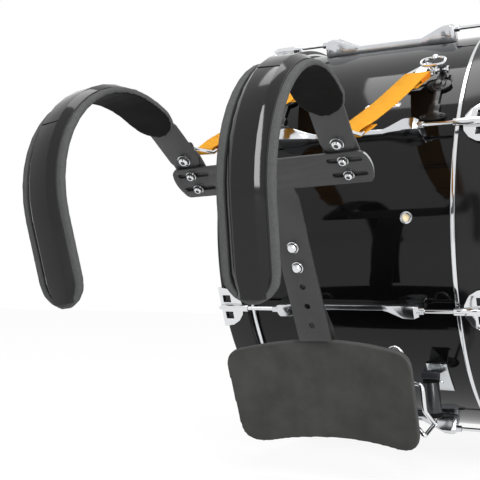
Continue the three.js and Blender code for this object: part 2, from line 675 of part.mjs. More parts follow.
function makeChestPlate() {
  const shape = new THREE.Shape();
  const wide = chest.halfWidth;
  const foot = wide + chestEnd.foot;
  const mid = wide + chestEnd.bulge;
  const low = -chest.height;
  shape.moveTo(-wide + chestEnd.corner, 0);
  shape.lineTo(wide - chestEnd.corner, 0);
  shape.quadraticCurveTo(wide, 0, wide + chestEnd.bulge / 2, -chestEnd.corner);
  shape.quadraticCurveTo(mid + chestEnd.foot, low / 2, foot, low + chestEnd.corner);
  shape.quadraticCurveTo(foot - chestEnd.foot, low, foot - chestEnd.corner, low);
  shape.lineTo(-foot + chestEnd.corner, low);
  shape.quadraticCurveTo(-foot + chestEnd.foot, low, -foot, low + chestEnd.corner);
  shape.quadraticCurveTo(-mid - chestEnd.foot, low / 2, -wide - chestEnd.bulge / 2, -chestEnd.corner);
  shape.quadraticCurveTo(-wide, 0, -wide + chestEnd.corner, 0);
  const wing = solid(slabUp(shape, -chest.thickness, 0));
  const tongue = bentStrip(
    [[-chest.height / 2, 0], [-stem.bend, 0], onStem(stemLength)], chest.thickness, stem.halfWidth, 0, 1);
  const holes = [];
  for (let i = 0; i < stemHoles; i += 1) {
    holes.push(stemPin(stem.firstHole + i * stem.pitch, stem.hole, -chest.thickness - overrun, overrun));
  }
  for (const side of [-1, 1]) {
    holes.push(slotTool(side, slot.upper), slotTool(side, slot.lower));
  }
  return cut(wing.add(tongue), holes);
}

piece("chest_plate", makeChestPlate(), "black", chestGroup);

// Pad and plate, set a little aside and turned on the bar as in the photograph
const bellySkin = new THREE.Group();
bellySkin.position.x = bellySet.aside;
bellySkin.rotation.z = rad(bellySet.turnDegrees);
bellyGroup.add(bellySkin);
const padArc = (bellyPad.chord ** 2 + bellyPad.sag ** 2) / (2 * bellyPad.sag);
const plateArc = padArc + bellyPad.thickness + gap;

const backOfPlate = -bellyPad.sag - bellyPad.thickness - gap - bellyPlate.thickness - gap;

function bellyShape(inset) {
  const wide = belly.halfWidth - inset;
  const top = bellyArch.topEdge - inset;
  const low = -belly.height - bellyArch.bottomEdge + inset;
  const round = belly.corner - inset;
  const foot = wide - bellyArch.taper;
  const footRound = bellyArch.corner - inset;
  const shape = new THREE.Shape();
  shape.moveTo(-wide, top - round);
  shape.quadraticCurveTo(-wide, top, -wide + round, top);
  shape.quadraticCurveTo(0, top + 2 * bellyArch.top, wide - round, top);
  shape.quadraticCurveTo(wide, top, wide, top - round);
  shape.lineTo(foot, low + footRound);
  shape.quadraticCurveTo(foot, low, foot - footRound, low);
  shape.quadraticCurveTo(0, low + 2 * bellyArch.bottom, -foot + footRound, low);
  shape.quadraticCurveTo(-foot, low, -foot, low + footRound);
  return shape;
}

function curvedSheet(inner, thickness, inset) {
  const centreZ = padArc - bellyPad.sag;
  const spread = Math.asin((belly.halfWidth + overrun) / inner);
  const near = [];
  const far = [];
  for (let i = 0; i <= bellySteps; i += 1) {
    const turn = -spread + (2 * spread * i) / bellySteps;
    near.push([inner * Math.sin(turn), centreZ - inner * Math.cos(turn)]);
    far.push([(inner + thickness) * Math.sin(turn), centreZ - (inner + thickness) * Math.cos(turn)]);
  }
  const tall = 2 * belly.height;
  const sheet = slabFacing(polygon([...near, ...far.reverse()]), tall, -tall);
  return solid(sheet).intersect(solid(slabUp(bellyShape(inset), -belly.height, belly.height)));
}

piece("belly_pad", curvedSheet(padArc, bellyPad.thickness, 0), "pad", bellySkin);
piece("belly_plate", curvedSheet(plateArc, bellyPlate.thickness, bellyPlate.inset), "black", bellySkin);

// Back bar: from the stem down behind the belly plate, with a cross bar and the two height studs
const toPair = (y, z, frame) => {
  const at = new THREE.Vector3(0, y, z).applyMatrix4(frame);
  return [at.y, at.z];
};

function makeBar() {
  const behind = -chest.thickness - gap;
  const line = [
    toPair(...onStem(stem.firstHole - bar.above, behind), chestFrame),
    toPair(...onStem(stem.firstHole + bar.straight, behind), chestFrame),
    toPair(bar.overTop, backOfPlate, bellyFrame),
    toPair(-bar.foot, backOfPlate, bellyFrame),
  ];
  const spine = bentStrip(line, bar.thickness, bar.halfWidth, 0, 1);
  const cross = new THREE.BoxGeometry(2 * crossBar.halfWidth, 2 * crossBar.halfHeight, bar.thickness);
  cross.translate(0, -crossBar.depth, backOfPlate - bar.thickness / 2).applyMatrix4(bellyFrame);
  const studs = [0, 1].map((i) => {
    const at = stem.firstHole + i * stem.pitch;
    const shank = stemPin(at, stud.radius, behind - bar.thickness / 2, gap + stud.height / 2);
    const head = stemPin(at, stud.head, gap, gap + stud.height, 12);
    return placed(shank.add(head), chestFrame);
  });
  return join([spine, solid(cross), ...studs]);
}

piece("belly_bar", makeBar(), "black", carrier);

// The line of a drum hook's sleeve, which stands before the shell
function sleeveLine(side) {
  const top = onShell(side * (seatX - sleeveTop.aside), sleeveTop.angle, shell.radius + sleeveTop.stand);
  const foot = top.clone().setX(side * (seatX - sleeveFoot.aside));
  foot.z -= sleeveFoot.down;
  return { top, foot, down: foot.clone().sub(top).normalize() };
}

// Sheet metal seats on the shell, and the sleeved rods that stand in them
function makeSeat(side) {
  const x = side * seatX;
  const inner = shell.radius + gap;
  const base = shellBand(seat.footAngle, seat.topAngle, inner, inner + seat.thickness, seat.halfWidth, x);
  const roofZ = sleeveLine(side).top.z + hood.height;
  const reachY = onShell(0, seat.topAngle, inner).y;
  const outline = polygon([
    [reachY + hood.reach / 2, roofZ - hood.wall],
    [reachY + hood.reach / 2, roofZ + hood.wall],
    [reachY, roofZ + hood.wall],
    [reachY - hood.reach, roofZ + hood.wall - hood.height / 3],
    [reachY - hood.reach, roofZ - hood.height],
    [reachY - hood.reach + hood.wall, roofZ - hood.height],
    [reachY - hood.reach + hood.wall, roofZ - hood.height / 3],
    [reachY, roofZ - hood.wall],
  ]);
  const floor = new THREE.CylinderGeometry(inner, inner, 4 * seat.halfWidth, drumSides);
  floor.rotateX(Math.PI / 2 / drumSides).rotateZ(Math.PI / 2).translate(x, 0, 0);
  const screw = onShell(x, (seat.topAngle + seat.footAngle * 2) / 3, inner);
  const screwTop = screw.clone().setX(0).setLength(inner + seat.thickness + hood.screwHeight).setX(x);
  return cut(
    join([base, solid(slabAcross(outline, hood.halfWidth, x)), roundBar(hood.screw, screw, screwTop)]),
    [solid(floor)]);
}

const onBelly = (side, place, z) => new THREE.Vector3(side * place.x, place.y, z)
  .applyMatrix4(bellyFrame).applyMatrix4(carrierTurn);

function makeHookRod(side) {
  const { top, foot, down } = sleeveLine(side);
  const onBar = backOfPlate - bar.thickness - gap - hookRod.radius;
  const grip = (place) => ({ x: crossBar.halfWidth - rodGrip, y: place.y });
  const main = bentWire([
    onBelly(side, grip(rodUpperEnd), onBar),
    onBelly(side, rodUpperEnd, onBar),
    onBelly(side, rodUpper, rodUpper.z),
    onBelly(side, rodKnee, rodKnee.z),
    foot,
    top.clone().addScaledVector(down, -sleeve.cap),
  ], hookRod.radius, rodSides);
  const low = bentWire([
    foot.clone().addScaledVector(down, -hookRod.radius),
    onBelly(side, rodLower, rodLower.z),
    onBelly(side, rodLowerEnd, onBar),
    onBelly(side, grip(rodLowerEnd), onBar),
  ], hookRod.radius, rodSides);
  return main.add(low);
}

function makeSleeve(side) {
  const { top, down } = sleeveLine(side);
  const end = top.clone().addScaledVector(down, sleeve.length);
  const tube = roundBar(sleeve.radius, top, end, 16);
  const hole = roundBar(
    hookRod.radius + gap,
    top.clone().addScaledVector(down, -overrun),
    end.clone().addScaledVector(down, overrun), 8);
  return tube.subtract(hole);
}

for (const [word, side] of [["left", -1], ["right", 1]]) {
  piece(`hook_seat_${word}`, makeSeat(side), "zinc", drum);
  piece(`hook_rod_${word}`, makeHookRod(side), "chrome", drum);
  piece(`hook_sleeve_${word}`, makeSleeve(side), "rubber", drum);
}

const armRuns = [
  { run: armRise.foot, bend: 0 },
  { run: armRise.length, bend: armRise.radius },
  { run: armCrown.length, bend: armCrown.radius },
  { run: armCrown.fallLength, bend: armCrown.fallRadius },
  { run: armBack.length, bend: armBack.radius },
  { run: armBack.tail, bend: 0 },
];

// Place and turn at a distance along the arm's straight and round runs
function armPlace(distance) {
  let left = distance;
  const spot = { y: 0, z: 0, turn: 0 };
  armRuns.forEach(({ run, bend }, i) => {
    const step = left > run && i + 1 < armRuns.length ? run : left;
    if (step === 0) return;
    const next = bend > 0 ? spot.turn + step / bend : spot.turn;
    const chord = bend > 0 ? 2 * bend * Math.sin(step / bend / 2) : step;
    spot.y += chord * Math.cos((spot.turn + next) / 2);
    spot.z += chord * Math.sin((spot.turn + next) / 2);
    spot.turn = next;
    left -= step;
  });
  return spot;
}

// Stations between two distances. All pieces share one grid, so their faces stay parallel
function armStations(from, to, extra = []) {
  const marks = [from, to, ...extra];
  for (let s = Math.ceil(from / armStep) * armStep; s < to; s += armStep) marks.push(s);
  const inside = marks.filter((s) => s >= from && s <= to).sort((a, b) => a - b);
  return inside.filter((s, i) => i === 0 || s - inside[i - 1] > gap).map((s) => {
    const low = armPlace(Math.floor(s / armStep) * armStep);
    const high = armPlace((Math.floor(s / armStep) + 1) * armStep);
    const share = s / armStep - Math.floor(s / armStep);
    const mix = (key) => low[key] + (high[key] - low[key]) * share;
    return { s, y: mix("y"), z: mix("z"), turn: mix("turn") };
  });
}

// A section's points are pairs of width and height over the arm's line
function sweep(stations, sectionAt) {
  const rings = stations.map((station) => {
    const outY = Math.sin(station.turn);
    const outZ = -Math.cos(station.turn);
    return sectionAt(station.s).map(([w, h]) => [w, station.y + h * outY, station.z + h * outZ]);
  });
  const n = rings[0].length;
  const faces = [];
  for (let i = 0; i + 1 < rings.length; i += 1) {
    for (let k = 0; k < n; k += 1) {
      const a = i * n + k;
      const b = i * n + ((k + 1) % n);
      faces.push(a, b, b + n, a, b + n, a + n);
    }
  }
  const outline = sectionAt(stations[0].s).map(([w, h]) => new THREE.Vector2(w, h));
  const cap = THREE.ShapeUtils.triangulateShape(outline, []);
  const last = (rings.length - 1) * n;
  for (const [a, b, c] of cap) {
    faces.push(a, c, b, last + a, last + b, last + c);
  }
  const geometry = new THREE.BufferGeometry();
  geometry.setAttribute("position", new THREE.BufferAttribute(new Float32Array(rings.flat(2)), 3));
  geometry.setIndex(faces);
  return solid(geometry);
}

// Share of the full width left near a rounded end
function roundedShare(s, start, end, startRound, endRound) {
  const near = Math.min(1, (s - start) / startRound);
  const far = Math.min(1, (end - s) / endRound);
  const least = 0.22;
  const curve = (t) => Math.sqrt(Math.max(0, 1 - (1 - t) ** 2));
  return Math.max(least, Math.min(curve(near), curve(far)));
}

const endShares = [0.05, 0.22, 0.52, 1];
const endMarks = (start, end, a, b) => [
  ...endShares.map((share) => start + share * a),
  ...endShares.map((share) => end - share * b),
];

function makeArmStrap() {
  const start = -strap.below;
  const width = (s) => {
    const share = Math.min(1, Math.max(0, (s - strap.taperStart) / strap.taper));
    const half = strap.halfWidth + (strap.narrow - strap.halfWidth) * share;
    return half * (s < 0 ? roundedShare(s, start, strap.end, strap.below, strap.below) : 1);
  };
  const half = strap.thickness / 2;
  const extra = [
    ...endShares.map((share) => start + share * strap.below),
    strap.taperStart,
    strap.taperStart + strap.taper,
  ];
  const band = sweep(armStations(start, strap.end, extra), (s) => [
    [-width(s), -half], [width(s), -half], [width(s), half], [-width(s), half],
  ]);
  const at = (z) => new THREE.Vector3(0, 0, z);
  return cut(band, [roundBar(arm.pivotHole, at(-overrun), at(overrun), roundSides + 2)]);
}

function makeArmFoam() {
  const top = -strap.thickness / 2 - gap;
  const low = top - foam.thickness;
  const marks = endMarks(foam.start, foam.end, foam.rounding, foam.tailRounding);
  return sweep(armStations(foam.start, foam.end, marks), (s) => {
    const wide = foam.halfWidth * roundedShare(s, foam.start, foam.end, foam.rounding, foam.tailRounding);
    return [
      [-wide, top - foam.edge], [-wide + foam.edge, top], [wide - foam.edge, top], [wide, top - foam.edge],
      [wide, low + foam.edge], [wide - foam.edge, low], [-wide + foam.edge, low], [-wide, low + foam.edge],
    ].reverse();
  });
}

function makeArmCover() {
  const base = -strap.thickness / 2;
  const roof = strap.thickness / 2 + gap;
  const inner = strap.narrow + gap;
  const start = cover.start + strap.taper / 2;
  const marks = endMarks(cover.start, cover.end, cover.rounding, coverTailRounding);
  const cap = sweep(armStations(start, cover.end, marks), (s) => {
    const share = roundedShare(s, cover.start, cover.end, cover.rounding, coverTailRounding);
    const wide = Math.max(inner + cover.wall, cover.base * share);
    const facet = Math.max(inner - cover.wall, cover.facet * share);
    const high = roof + (cover.height - roof) * Math.max(share, cover.wall / cover.height);
    return [
      [cover.shift - wide, base], [cover.shift + wide, base],
      [cover.shift + facet, high], [cover.shift - facet, high],
    ];
  });
  const groove = sweep(armStations(start - overrun, strap.end + 2 * gap), () => [
    [-inner, base - cover.wall], [inner, base - cover.wall], [inner, roof], [-inner, roof],
  ]);
  return cap.subtract(groove);
}

// Shoulder bracket with its two slot bolts, and the bolt that the arm turns on
function makeShoulderBracket() {
  const front = -chest.thickness - gap;
  const rear = strapBack - gap;
  const crown = arm.pivotUp + bracket.topRadius;
  const line = [
    [-bracket.foot, front],
    [-bracket.joggleStart, front],
    [-bracket.joggleEnd, rear],
    [crown, rear],
  ];
  const blank = bentStrip(line, bracket.thickness, bracket.halfWidth, 0, -1);
  const shape = new THREE.Shape();
  shape.moveTo(-bracket.halfWidth, -bracket.foot - overrun);
  shape.lineTo(bracket.halfWidth, -bracket.foot - overrun);
  shape.lineTo(bracket.halfWidth, arm.pivotUp);
  shape.quadraticCurveTo(bracket.halfWidth, crown, 0, crown);
  shape.quadraticCurveTo(-bracket.halfWidth, crown, -bracket.halfWidth, arm.pivotUp);
  const plate = blank.intersect(solid(slabUp(shape, rear - bracket.thickness - overrun, overrun)));
  const bolts = [slot.upper, slot.lower].flatMap((depth) => {
    const at = (z) => new THREE.Vector3(0, -depth, z);
    return [
      roundBar(slotBolt.shank, at(front - bracket.thickness / 2), at(gap + slotBolt.headHeight / 2)),
      roundBar(slotBolt.head, at(gap), at(gap + slotBolt.headHeight), roundSides + 2),
    ];
  });
  const at = (z) => new THREE.Vector3(0, arm.pivotUp, z);
  const face = -chest.thickness;
  const across = (x) => new THREE.Vector3(x, arm.pivotUp, pivotEyeZ);
  const eye = roundBar(pivotEye.radius, across(-pivotEye.thickness / 2), across(pivotEye.thickness / 2), 14);
  const pivot = [
    roundBar(pivotBolt.shank, at(nutFace - pivotEye.reach / 3), at(face + pivotBolt.headHeight / 2)),
    roundBar(pivotBolt.head, at(face), at(face + pivotBolt.headHeight), roundSides + 4),
    roundBar(pivotBolt.nut, at(nutFace), at(rear - bracket.thickness / 2), 6),
    eye,
  ];
  const hole = roundBar(pivotEye.hole, across(-overrun), across(overrun), 12);
  return cut(join([plate, ...bolts, ...pivot]), [hole]);
}

for (const [word, side, flare] of [["left", -1, arm.flareLeft], ["right", 1, arm.flareRight]]) {
  const slide = new THREE.Group();
  slide.position.set(side * bracketAt[word], 0, 0);
  chestGroup.add(slide);
  piece(`shoulder_bracket_${word}`, makeShoulderBracket(), "black", slide);
  const swing = new THREE.Group();
  swing.position.set(0, arm.pivotUp, strapBack + strap.thickness / 2);
  swing.rotation.z = -side * rad(flare);
  slide.add(swing);
  piece(`arm_strap_${word}`, makeArmStrap(), "black", swing);
  piece(`arm_foam_${word}`, makeArmFoam(), "foam", swing);
  piece(`arm_cover_${word}`, makeArmCover(), "gloss", swing);
}

export default root;
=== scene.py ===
"""Looks for a marching bass drum on its shoulder carrier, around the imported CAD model. Metres, +Z up."""
import bmesh
import bpy
import math
from mathutils import Matrix, Vector


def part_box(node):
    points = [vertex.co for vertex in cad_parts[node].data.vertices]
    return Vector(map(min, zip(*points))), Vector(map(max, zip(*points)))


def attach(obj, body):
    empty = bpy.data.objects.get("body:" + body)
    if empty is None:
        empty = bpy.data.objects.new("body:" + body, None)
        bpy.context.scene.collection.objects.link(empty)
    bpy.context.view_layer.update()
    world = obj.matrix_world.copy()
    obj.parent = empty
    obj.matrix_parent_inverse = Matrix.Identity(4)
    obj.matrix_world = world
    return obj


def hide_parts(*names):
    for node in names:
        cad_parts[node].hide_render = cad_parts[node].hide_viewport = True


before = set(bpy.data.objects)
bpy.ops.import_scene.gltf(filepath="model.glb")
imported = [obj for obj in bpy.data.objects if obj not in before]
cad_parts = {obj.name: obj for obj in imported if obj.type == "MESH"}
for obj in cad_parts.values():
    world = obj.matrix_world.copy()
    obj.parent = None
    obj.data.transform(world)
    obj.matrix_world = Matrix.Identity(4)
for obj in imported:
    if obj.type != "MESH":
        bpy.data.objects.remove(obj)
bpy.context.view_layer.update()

# Camera of the photograph
CAMERA_PLACE = (0.528976, -0.8811, -0.22858)
CAMERA_AZIMUTH = math.radians(28.967)
CAMERA_PITCH = math.radians(3.148)
CAMERA_ROLL = math.radians(0.454)
CAMERA_LENS = 69.62
SENSOR = 36.0

# Drum, from the frame
SHELL_LOW, SHELL_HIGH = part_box("drum_shell")
DRUM = (SHELL_LOW + SHELL_HIGH) / 2
SHELL_RADIUS = (SHELL_HIGH.z - SHELL_LOW.z) / 2
SHELL_HALF = SHELL_HIGH.x
HOOP_LOW, HOOP_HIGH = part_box("counterhoop_right")
HOOP_RADIUS = (HOOP_HIGH.z - HOOP_LOW.z) / 2
FLESH_LOW, FLESH_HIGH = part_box("flesh_hoop_right")
HEAD_LOW, HEAD_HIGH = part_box("batter_head_right")
WALL = 0.007
HOOP_WALL = 0.0095
RING_SIDES = 192
SIDES = {"left": -1, "right": 1}
UP = Vector((0, 0, 1))
X_AXIS = Vector((1, 0, 0))
Y_AXIS = Vector((0, 1, 0))

# Carrier: turn of the whole, lean of the chest plate and of its stem
ROLL = Matrix.Rotation(math.radians(-1.94), 4, "Y")
CHEST_LEAN = math.radians(50.5)
STEM_LEAN = math.radians(26.8)
BELLY_LEAN = math.radians(21.2)


def leaning(back, up, lean):
    """Matrix of a plate's own frame: X across, Y up the plate, Z towards the wearer."""
    spot = Matrix.Translation(Vector((0, -back, up)))
    return Matrix.Translation(DRUM) @ ROLL @ spot @ Matrix.Rotation(math.pi / 2 + lean, 4, "X")


CHEST = leaning(0.588, 0.054, CHEST_LEAN)
BELLY = leaning(0.444, -0.194, BELLY_LEAN)


# Materials: base colour, roughness and specular level, with fine noise in colour, gloss and relief
NOISE_LOW, NOISE_HIGH = 0.3, 0.7


def shader(name, color, roughness, metallic=0.0):
    mat = bpy.data.materials.new(name)
    mat.use_nodes = True
    bsdf = mat.node_tree.nodes["Principled BSDF"]
    bsdf.inputs["Base Color"].default_value = (*color, 1)
    bsdf.inputs["Roughness"].default_value = roughness
    bsdf.inputs["Metallic"].default_value = metallic
    return mat


def node(mat, kind, **inputs):
    made = mat.node_tree.nodes.new(kind)
    for key, value in inputs.items():
        made.inputs[key.replace("_", " ")].default_value = value
    return made


def wire_up(mat, out, into):
    mat.node_tree.links.new(out, into)


def noise_of(mat, scale, detail=3.0, rough=0.55, stretch=(1, 1, 1)):
    """Noise in object space, so that it doesn't move with the camera."""
    spot = node(mat, "ShaderNodeTexCoord")
    mapping = node(mat, "ShaderNodeMapping", Scale=stretch)
    wire_up(mat, spot.outputs["Object"], mapping.inputs["Vector"])
    noise = node(mat, "ShaderNodeTexNoise", Scale=scale, Detail=detail, Roughness=rough)
    wire_up(mat, mapping.outputs["Vector"], noise.inputs["Vector"])
    return noise


def vary(mat, noise, socket, low, high):
    """Sets a shader value or colour between low and high by the noise."""
    bsdf = mat.node_tree.nodes["Principled BSDF"]
    if isinstance(low, tuple):
        ramp = node(mat, "ShaderNodeValToRGB")
        ramp.color_ramp.elements[0].color = (*low, 1)
        ramp.color_ramp.elements[1].color = (*high, 1)
        ramp.color_ramp.elements[0].position = NOISE_LOW
        ramp.color_ramp.elements[1].position = NOISE_HIGH
        wire_up(mat, noise.outputs["Fac"], ramp.inputs["Fac"])
        wire_up(mat, ramp.outputs["Color"], bsdf.inputs[socket])
        return
    span = node(mat, "ShaderNodeMapRange", From_Min=NOISE_LOW, From_Max=NOISE_HIGH, To_Min=low, To_Max=high)
    wire_up(mat, noise.outputs["Fac"], span.inputs["Value"])
    wire_up(mat, span.outputs["Result"], bsdf.inputs[socket])


def bump(mat, height, strength, distance):
    """Relief in the material, from a height of noise or weave."""
    bsdf = mat.node_tree.nodes["Principled BSDF"]
    made = node(mat, "ShaderNodeBump", Strength=strength, Distance=distance)
    wire_up(mat, height, made.inputs["Height"])
    wire_up(mat, made.outputs["Normal"], bsdf.inputs["Normal"])


def set_specular(mat, level):
    mat.node_tree.nodes["Principled BSDF"].inputs["Specular IOR Level"].default_value = level


def lacquer(name, color, roughness, specular):
    """Smooth paint with faint smears."""
    mat = shader(name, color, roughness)
    set_specular(mat, specular)
    smears = noise_of(mat, 6, 4)
    vary(mat, smears, "Roughness", roughness, roughness + 0.05)
    bump(mat, noise_of(mat, 60, 2).outputs["Fac"], 0.02, 0.0006)
    return mat


def metal(name, color, roughness, spread):
    mat = shader(name, color, roughness, 1.0)
    vary(mat, noise_of(mat, 40, 4), "Roughness", roughness, roughness + spread)
    bump(mat, noise_of(mat, 300, 2).outputs["Fac"], 0.05, 0.0002)
    return mat


def coated(name, low, high, roughness, grain, specular=0.5):
    """Powder coat, rubber or smooth foam: cloudy between two colours, with a fine grain."""
    mat = shader(name, low, roughness)
    set_specular(mat, specular)
    vary(mat, noise_of(mat, 25, 5), "Base Color", low, high)
    vary(mat, noise_of(mat, 14, 3), "Roughness", roughness, roughness + 0.12)
    bump(mat, noise_of(mat, grain, 2).outputs["Fac"], 0.25, 0.00025)
    return mat


def foamy(name, low, high, grain, strength):
    """Cut foam: matt, speckled and rough."""
    mat = shader(name, low, 0.95)
    vary(mat, noise_of(mat, grain / 2, 6, 0.7), "Base Color", low, high)
    bump(mat, noise_of(mat, grain, 4, 0.7).outputs["Fac"], strength, 0.0006)
    return mat


def woven(name, low, high):
    """Webbing with ribs along the strap, which lies along each strip's V coordinate."""
    mat = shader(name, low, 0.9)
    set_specular(mat, 0.12)
    vary(mat, noise_of(mat, 90, 6, 0.7), "Base Color", low, high)
    spot = node(mat, "ShaderNodeUVMap")
    ribs = node(mat, "ShaderNodeTexWave", Scale=9.0, Distortion=0.4, Detail=2.0)
    ribs.bands_direction = "X"
    weft = node(mat, "ShaderNodeTexWave", Scale=60.0, Distortion=0.6, Detail=1.0)
    weft.bands_direction = "Y"
    for wave in (ribs, weft):
        wire_up(mat, spot.outputs["UV"], wave.inputs["Vector"])
    both = node(mat, "ShaderNodeMath")
    both.operation = "ADD"
    wire_up(mat, ribs.outputs["Fac"], both.inputs[0])
    wire_up(mat, weft.outputs["Fac"], both.inputs[1])
    bump(mat, both.outputs["Value"], 0.5, 0.0008)
    return mat


LACQUER = lacquer("shell_lacquer", (0.0025, 0.0025, 0.0028), 0.035, 0.27)
HOOP_PAINT = lacquer("hoop_lacquer", (0.005, 0.005, 0.0055), 0.12, 0.36)
FILM = coated("drum_film", (0.012, 0.012, 0.013), (0.016, 0.016, 0.017), 0.32, 900)
CHROME = metal("polished_chrome", (0.72, 0.73, 0.745), 0.05, 0.06)
CASTING = metal("lug_casting", (0.63, 0.645, 0.67), 0.14, 0.1)
ZINC = metal("bright_zinc", (0.6, 0.62, 0.635), 0.24, 0.12)
POWDER = coated("black_powder_coat", (0.024, 0.024, 0.025), (0.034, 0.034, 0.035), 0.36, 1400)
ANCHOR_BLACK = coated("black_casting", (0.007, 0.007, 0.0075), (0.012, 0.012, 0.0125), 0.22, 700, 0.4)
GLOSS = lacquer("gloss_cover", (0.003, 0.003, 0.0034), 0.07, 0.36)
# Near black, for the arm covers' cross seams and for the line of painted shade where each cover sits on the foam
SEAM_AND_EDGE_SHADE = coated("dark_seam_and_edge_shade", (0.003, 0.003, 0.003), (0.005, 0.005, 0.005), 0.6, 900)
FOAM = foamy("dark_foam", (0.054, 0.055, 0.055), (0.086, 0.0875, 0.0875), 900, 0.7)
LINER = coated("smooth_liner", (0.0035, 0.0035, 0.0034), (0.006, 0.006, 0.0058), 0.72, 1200, 0.12)
PAD = coated("belly_foam", (0.04, 0.04, 0.038), (0.062, 0.062, 0.0595), 0.85, 700, 0.3)
PAD_EDGE = foamy("belly_foam_edge", (0.05, 0.051, 0.05), (0.07, 0.071, 0.07), 900, 0.7)
RUBBER = coated("dark_rubber", (0.014, 0.016, 0.019), (0.024, 0.026, 0.03), 0.22, 300)
WOOD = coated("bare_wood", (0.86, 0.7, 0.42), (0.95, 0.82, 0.55), 0.6, 300)
ORANGE = woven("orange_webbing", (0.86, 0.37, 0.024), (0.95, 0.45, 0.04))
# Deeper red webbing: painted shade of the folds along the strap's upper edges
FOLD_SHADE_WEBBING = woven("webbing_fold_shade", (0.8, 0.2, 0.012), (0.9, 0.26, 0.02))


# Meshes
WELD = 1e-5
SHARP = 40
SHARP_FINE = 20
WIRE_STEPS = 28
WIRE_SIDES = 8


def add(name, verts, faces, mat, body, smooth=True, uvs=None):
    """New piece from vertices and faces, which rides on the body if one is named."""
    mesh = bpy.data.meshes.new(name)
    mesh.from_pydata([tuple(v) for v in verts], [], faces)
    mesh.validate()
    outward = bmesh.new()
    outward.from_mesh(mesh)
    bmesh.ops.recalc_face_normals(outward, faces=outward.faces)
    outward.to_mesh(mesh)
    outward.free()
    obj = bpy.data.objects.new(name, mesh)
    bpy.context.collection.objects.link(obj)
    mesh.materials.append(mat)
    if uvs:
        layer = mesh.uv_layers.new(name="UVMap")
        for loop in mesh.loops:
            layer.data[loop.index].uv = uvs[loop.vertex_index]
    if smooth:
        mesh.polygons.foreach_set("use_smooth", [True] * len(mesh.polygons))
        by_angle(obj)
    if body:
        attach(obj, body)
    return obj


def by_angle(obj, degrees=32):
    """Keeps the edges sharper than the angle, with smooth faces between them."""
    split = obj.modifiers.new("edges", "EDGE_SPLIT")
    split.split_angle = math.radians(degrees)


def rounded(obj, width, degrees=32):
    """Rounds the edges sharper than the angle."""
    bevel = obj.modifiers.new("bevel", "BEVEL")
    bevel.width = width
    bevel.segments = 2
    bevel.limit_method = "ANGLE"
    bevel.angle_limit = math.radians(degrees)
    bevel.use_clamp_overlap = True


def applied(obj):
    """The object with its modifiers applied, in place."""
    graph = bpy.context.evaluated_depsgraph_get()
    mesh = bpy.data.meshes.new_from_object(obj.evaluated_get(graph))
    obj.modifiers.clear()
    obj.data = mesh
    return obj


def loft(rings, closed_ends=True, closed_rings=False):
    """Faces over rings of equal size. The rings join up at the end where closed_rings is set."""
    size = len(rings[0])
    count = len(rings)
    verts = [spot for ring in rings for spot in ring]
    faces = []
    for i in range(count if closed_rings else count - 1):
        j = (i + 1) % count
        for k in range(size):
            n = (k + 1) % size
            faces.append((i * size + k, i * size + n, j * size + n, j * size + k))
    if closed_ends and not closed_rings:
        faces.append(tuple(range(size)))
        faces.append(tuple(reversed(range((count - 1) * size, count * size))))
    return verts, faces


def across(axis):
    """Two directions at right angles to the axis."""
    axis = axis.normalized()
    start = X_AXIS if abs(axis.x) < 0.7 else UP
    first = (start - axis * axis.dot(start)).normalized()
    return first, axis.cross(first)


def turned(name, place, axis, profile, mat, body, sides=24):
    """Solid turned about an axis, from pairs of radius and height that start and end on it or close."""
    axis = axis.normalized()
    first, second = across(axis)
    rings = []
    for radius, height in profile:
        ring = []
        for k in range(sides):
            turn = 2 * math.pi * k / sides
            spoke = first * math.cos(turn) + second * math.sin(turn)
            ring.append(place + axis * height + spoke * max(radius, 1e-5))
        rings.append(ring)
    closed = profile[0] == profile[-1]
    verts, faces = loft(rings[:-1] if closed else rings, True, closed)
    return add(name, verts, faces, mat, body)


def rounded_profile(corners, radius, steps=4):
    """Closed profile whose corners are rounded."""
    made = []
    count = len(corners)
    for i, (a, b) in enumerate(corners):
        here = Vector((a, b))
        before = (Vector(corners[i - 1]) - here).normalized()
        after = (Vector(corners[(i + 1) % count]) - here).normalized()
        for k in range(steps + 1):
            t = k / steps
            spot = here + before * radius * (1 - t) ** 2 + after * radius * t ** 2
            made.append((spot.x, spot.y))
    return [*made, made[0]]


def tube(name, points, radius, mat, body, sides=12):
    """Round bar along points, smoothed at its bends."""
    path = [Vector(p) for p in points]
    runs = [(b - a).normalized() for a, b in zip(path, path[1:])]
    first, second = across(runs[0])
    rings = []
    for i, spot in enumerate(path):
        before = runs[max(0, i - 1)]
        after = runs[min(i, len(runs) - 1)]
        axis = (before + after).normalized()
        first = (first - axis * axis.dot(first)).normalized()
        second = axis.cross(first)
        ring = []
        for k in range(sides):
            turn = 2 * math.pi * k / sides
            ring.append(spot + (first * math.cos(turn) + second * math.sin(turn)) * radius)
        rings.append(ring)
    verts, faces = loft(rings)
    return add(name, verts, faces, mat, body)


def rounded_path(points, radius, steps=6):
    """The points with each inner corner replaced by a curve that starts this far from it."""
    path = [Vector(points[0])]
    for before, here, after in zip(points, points[1:], points[2:]):
        back = Vector(before) - Vector(here)
        ahead = Vector(after) - Vector(here)
        near = min(radius, back.length / 2, ahead.length / 2)
        for k in range(steps + 1):
            t = k / steps
            curve = back.normalized() * near * (1 - t) ** 2 + ahead.normalized() * near * t ** 2
            path.append(Vector(here) + curve)
    return [*path, Vector(points[-1])]


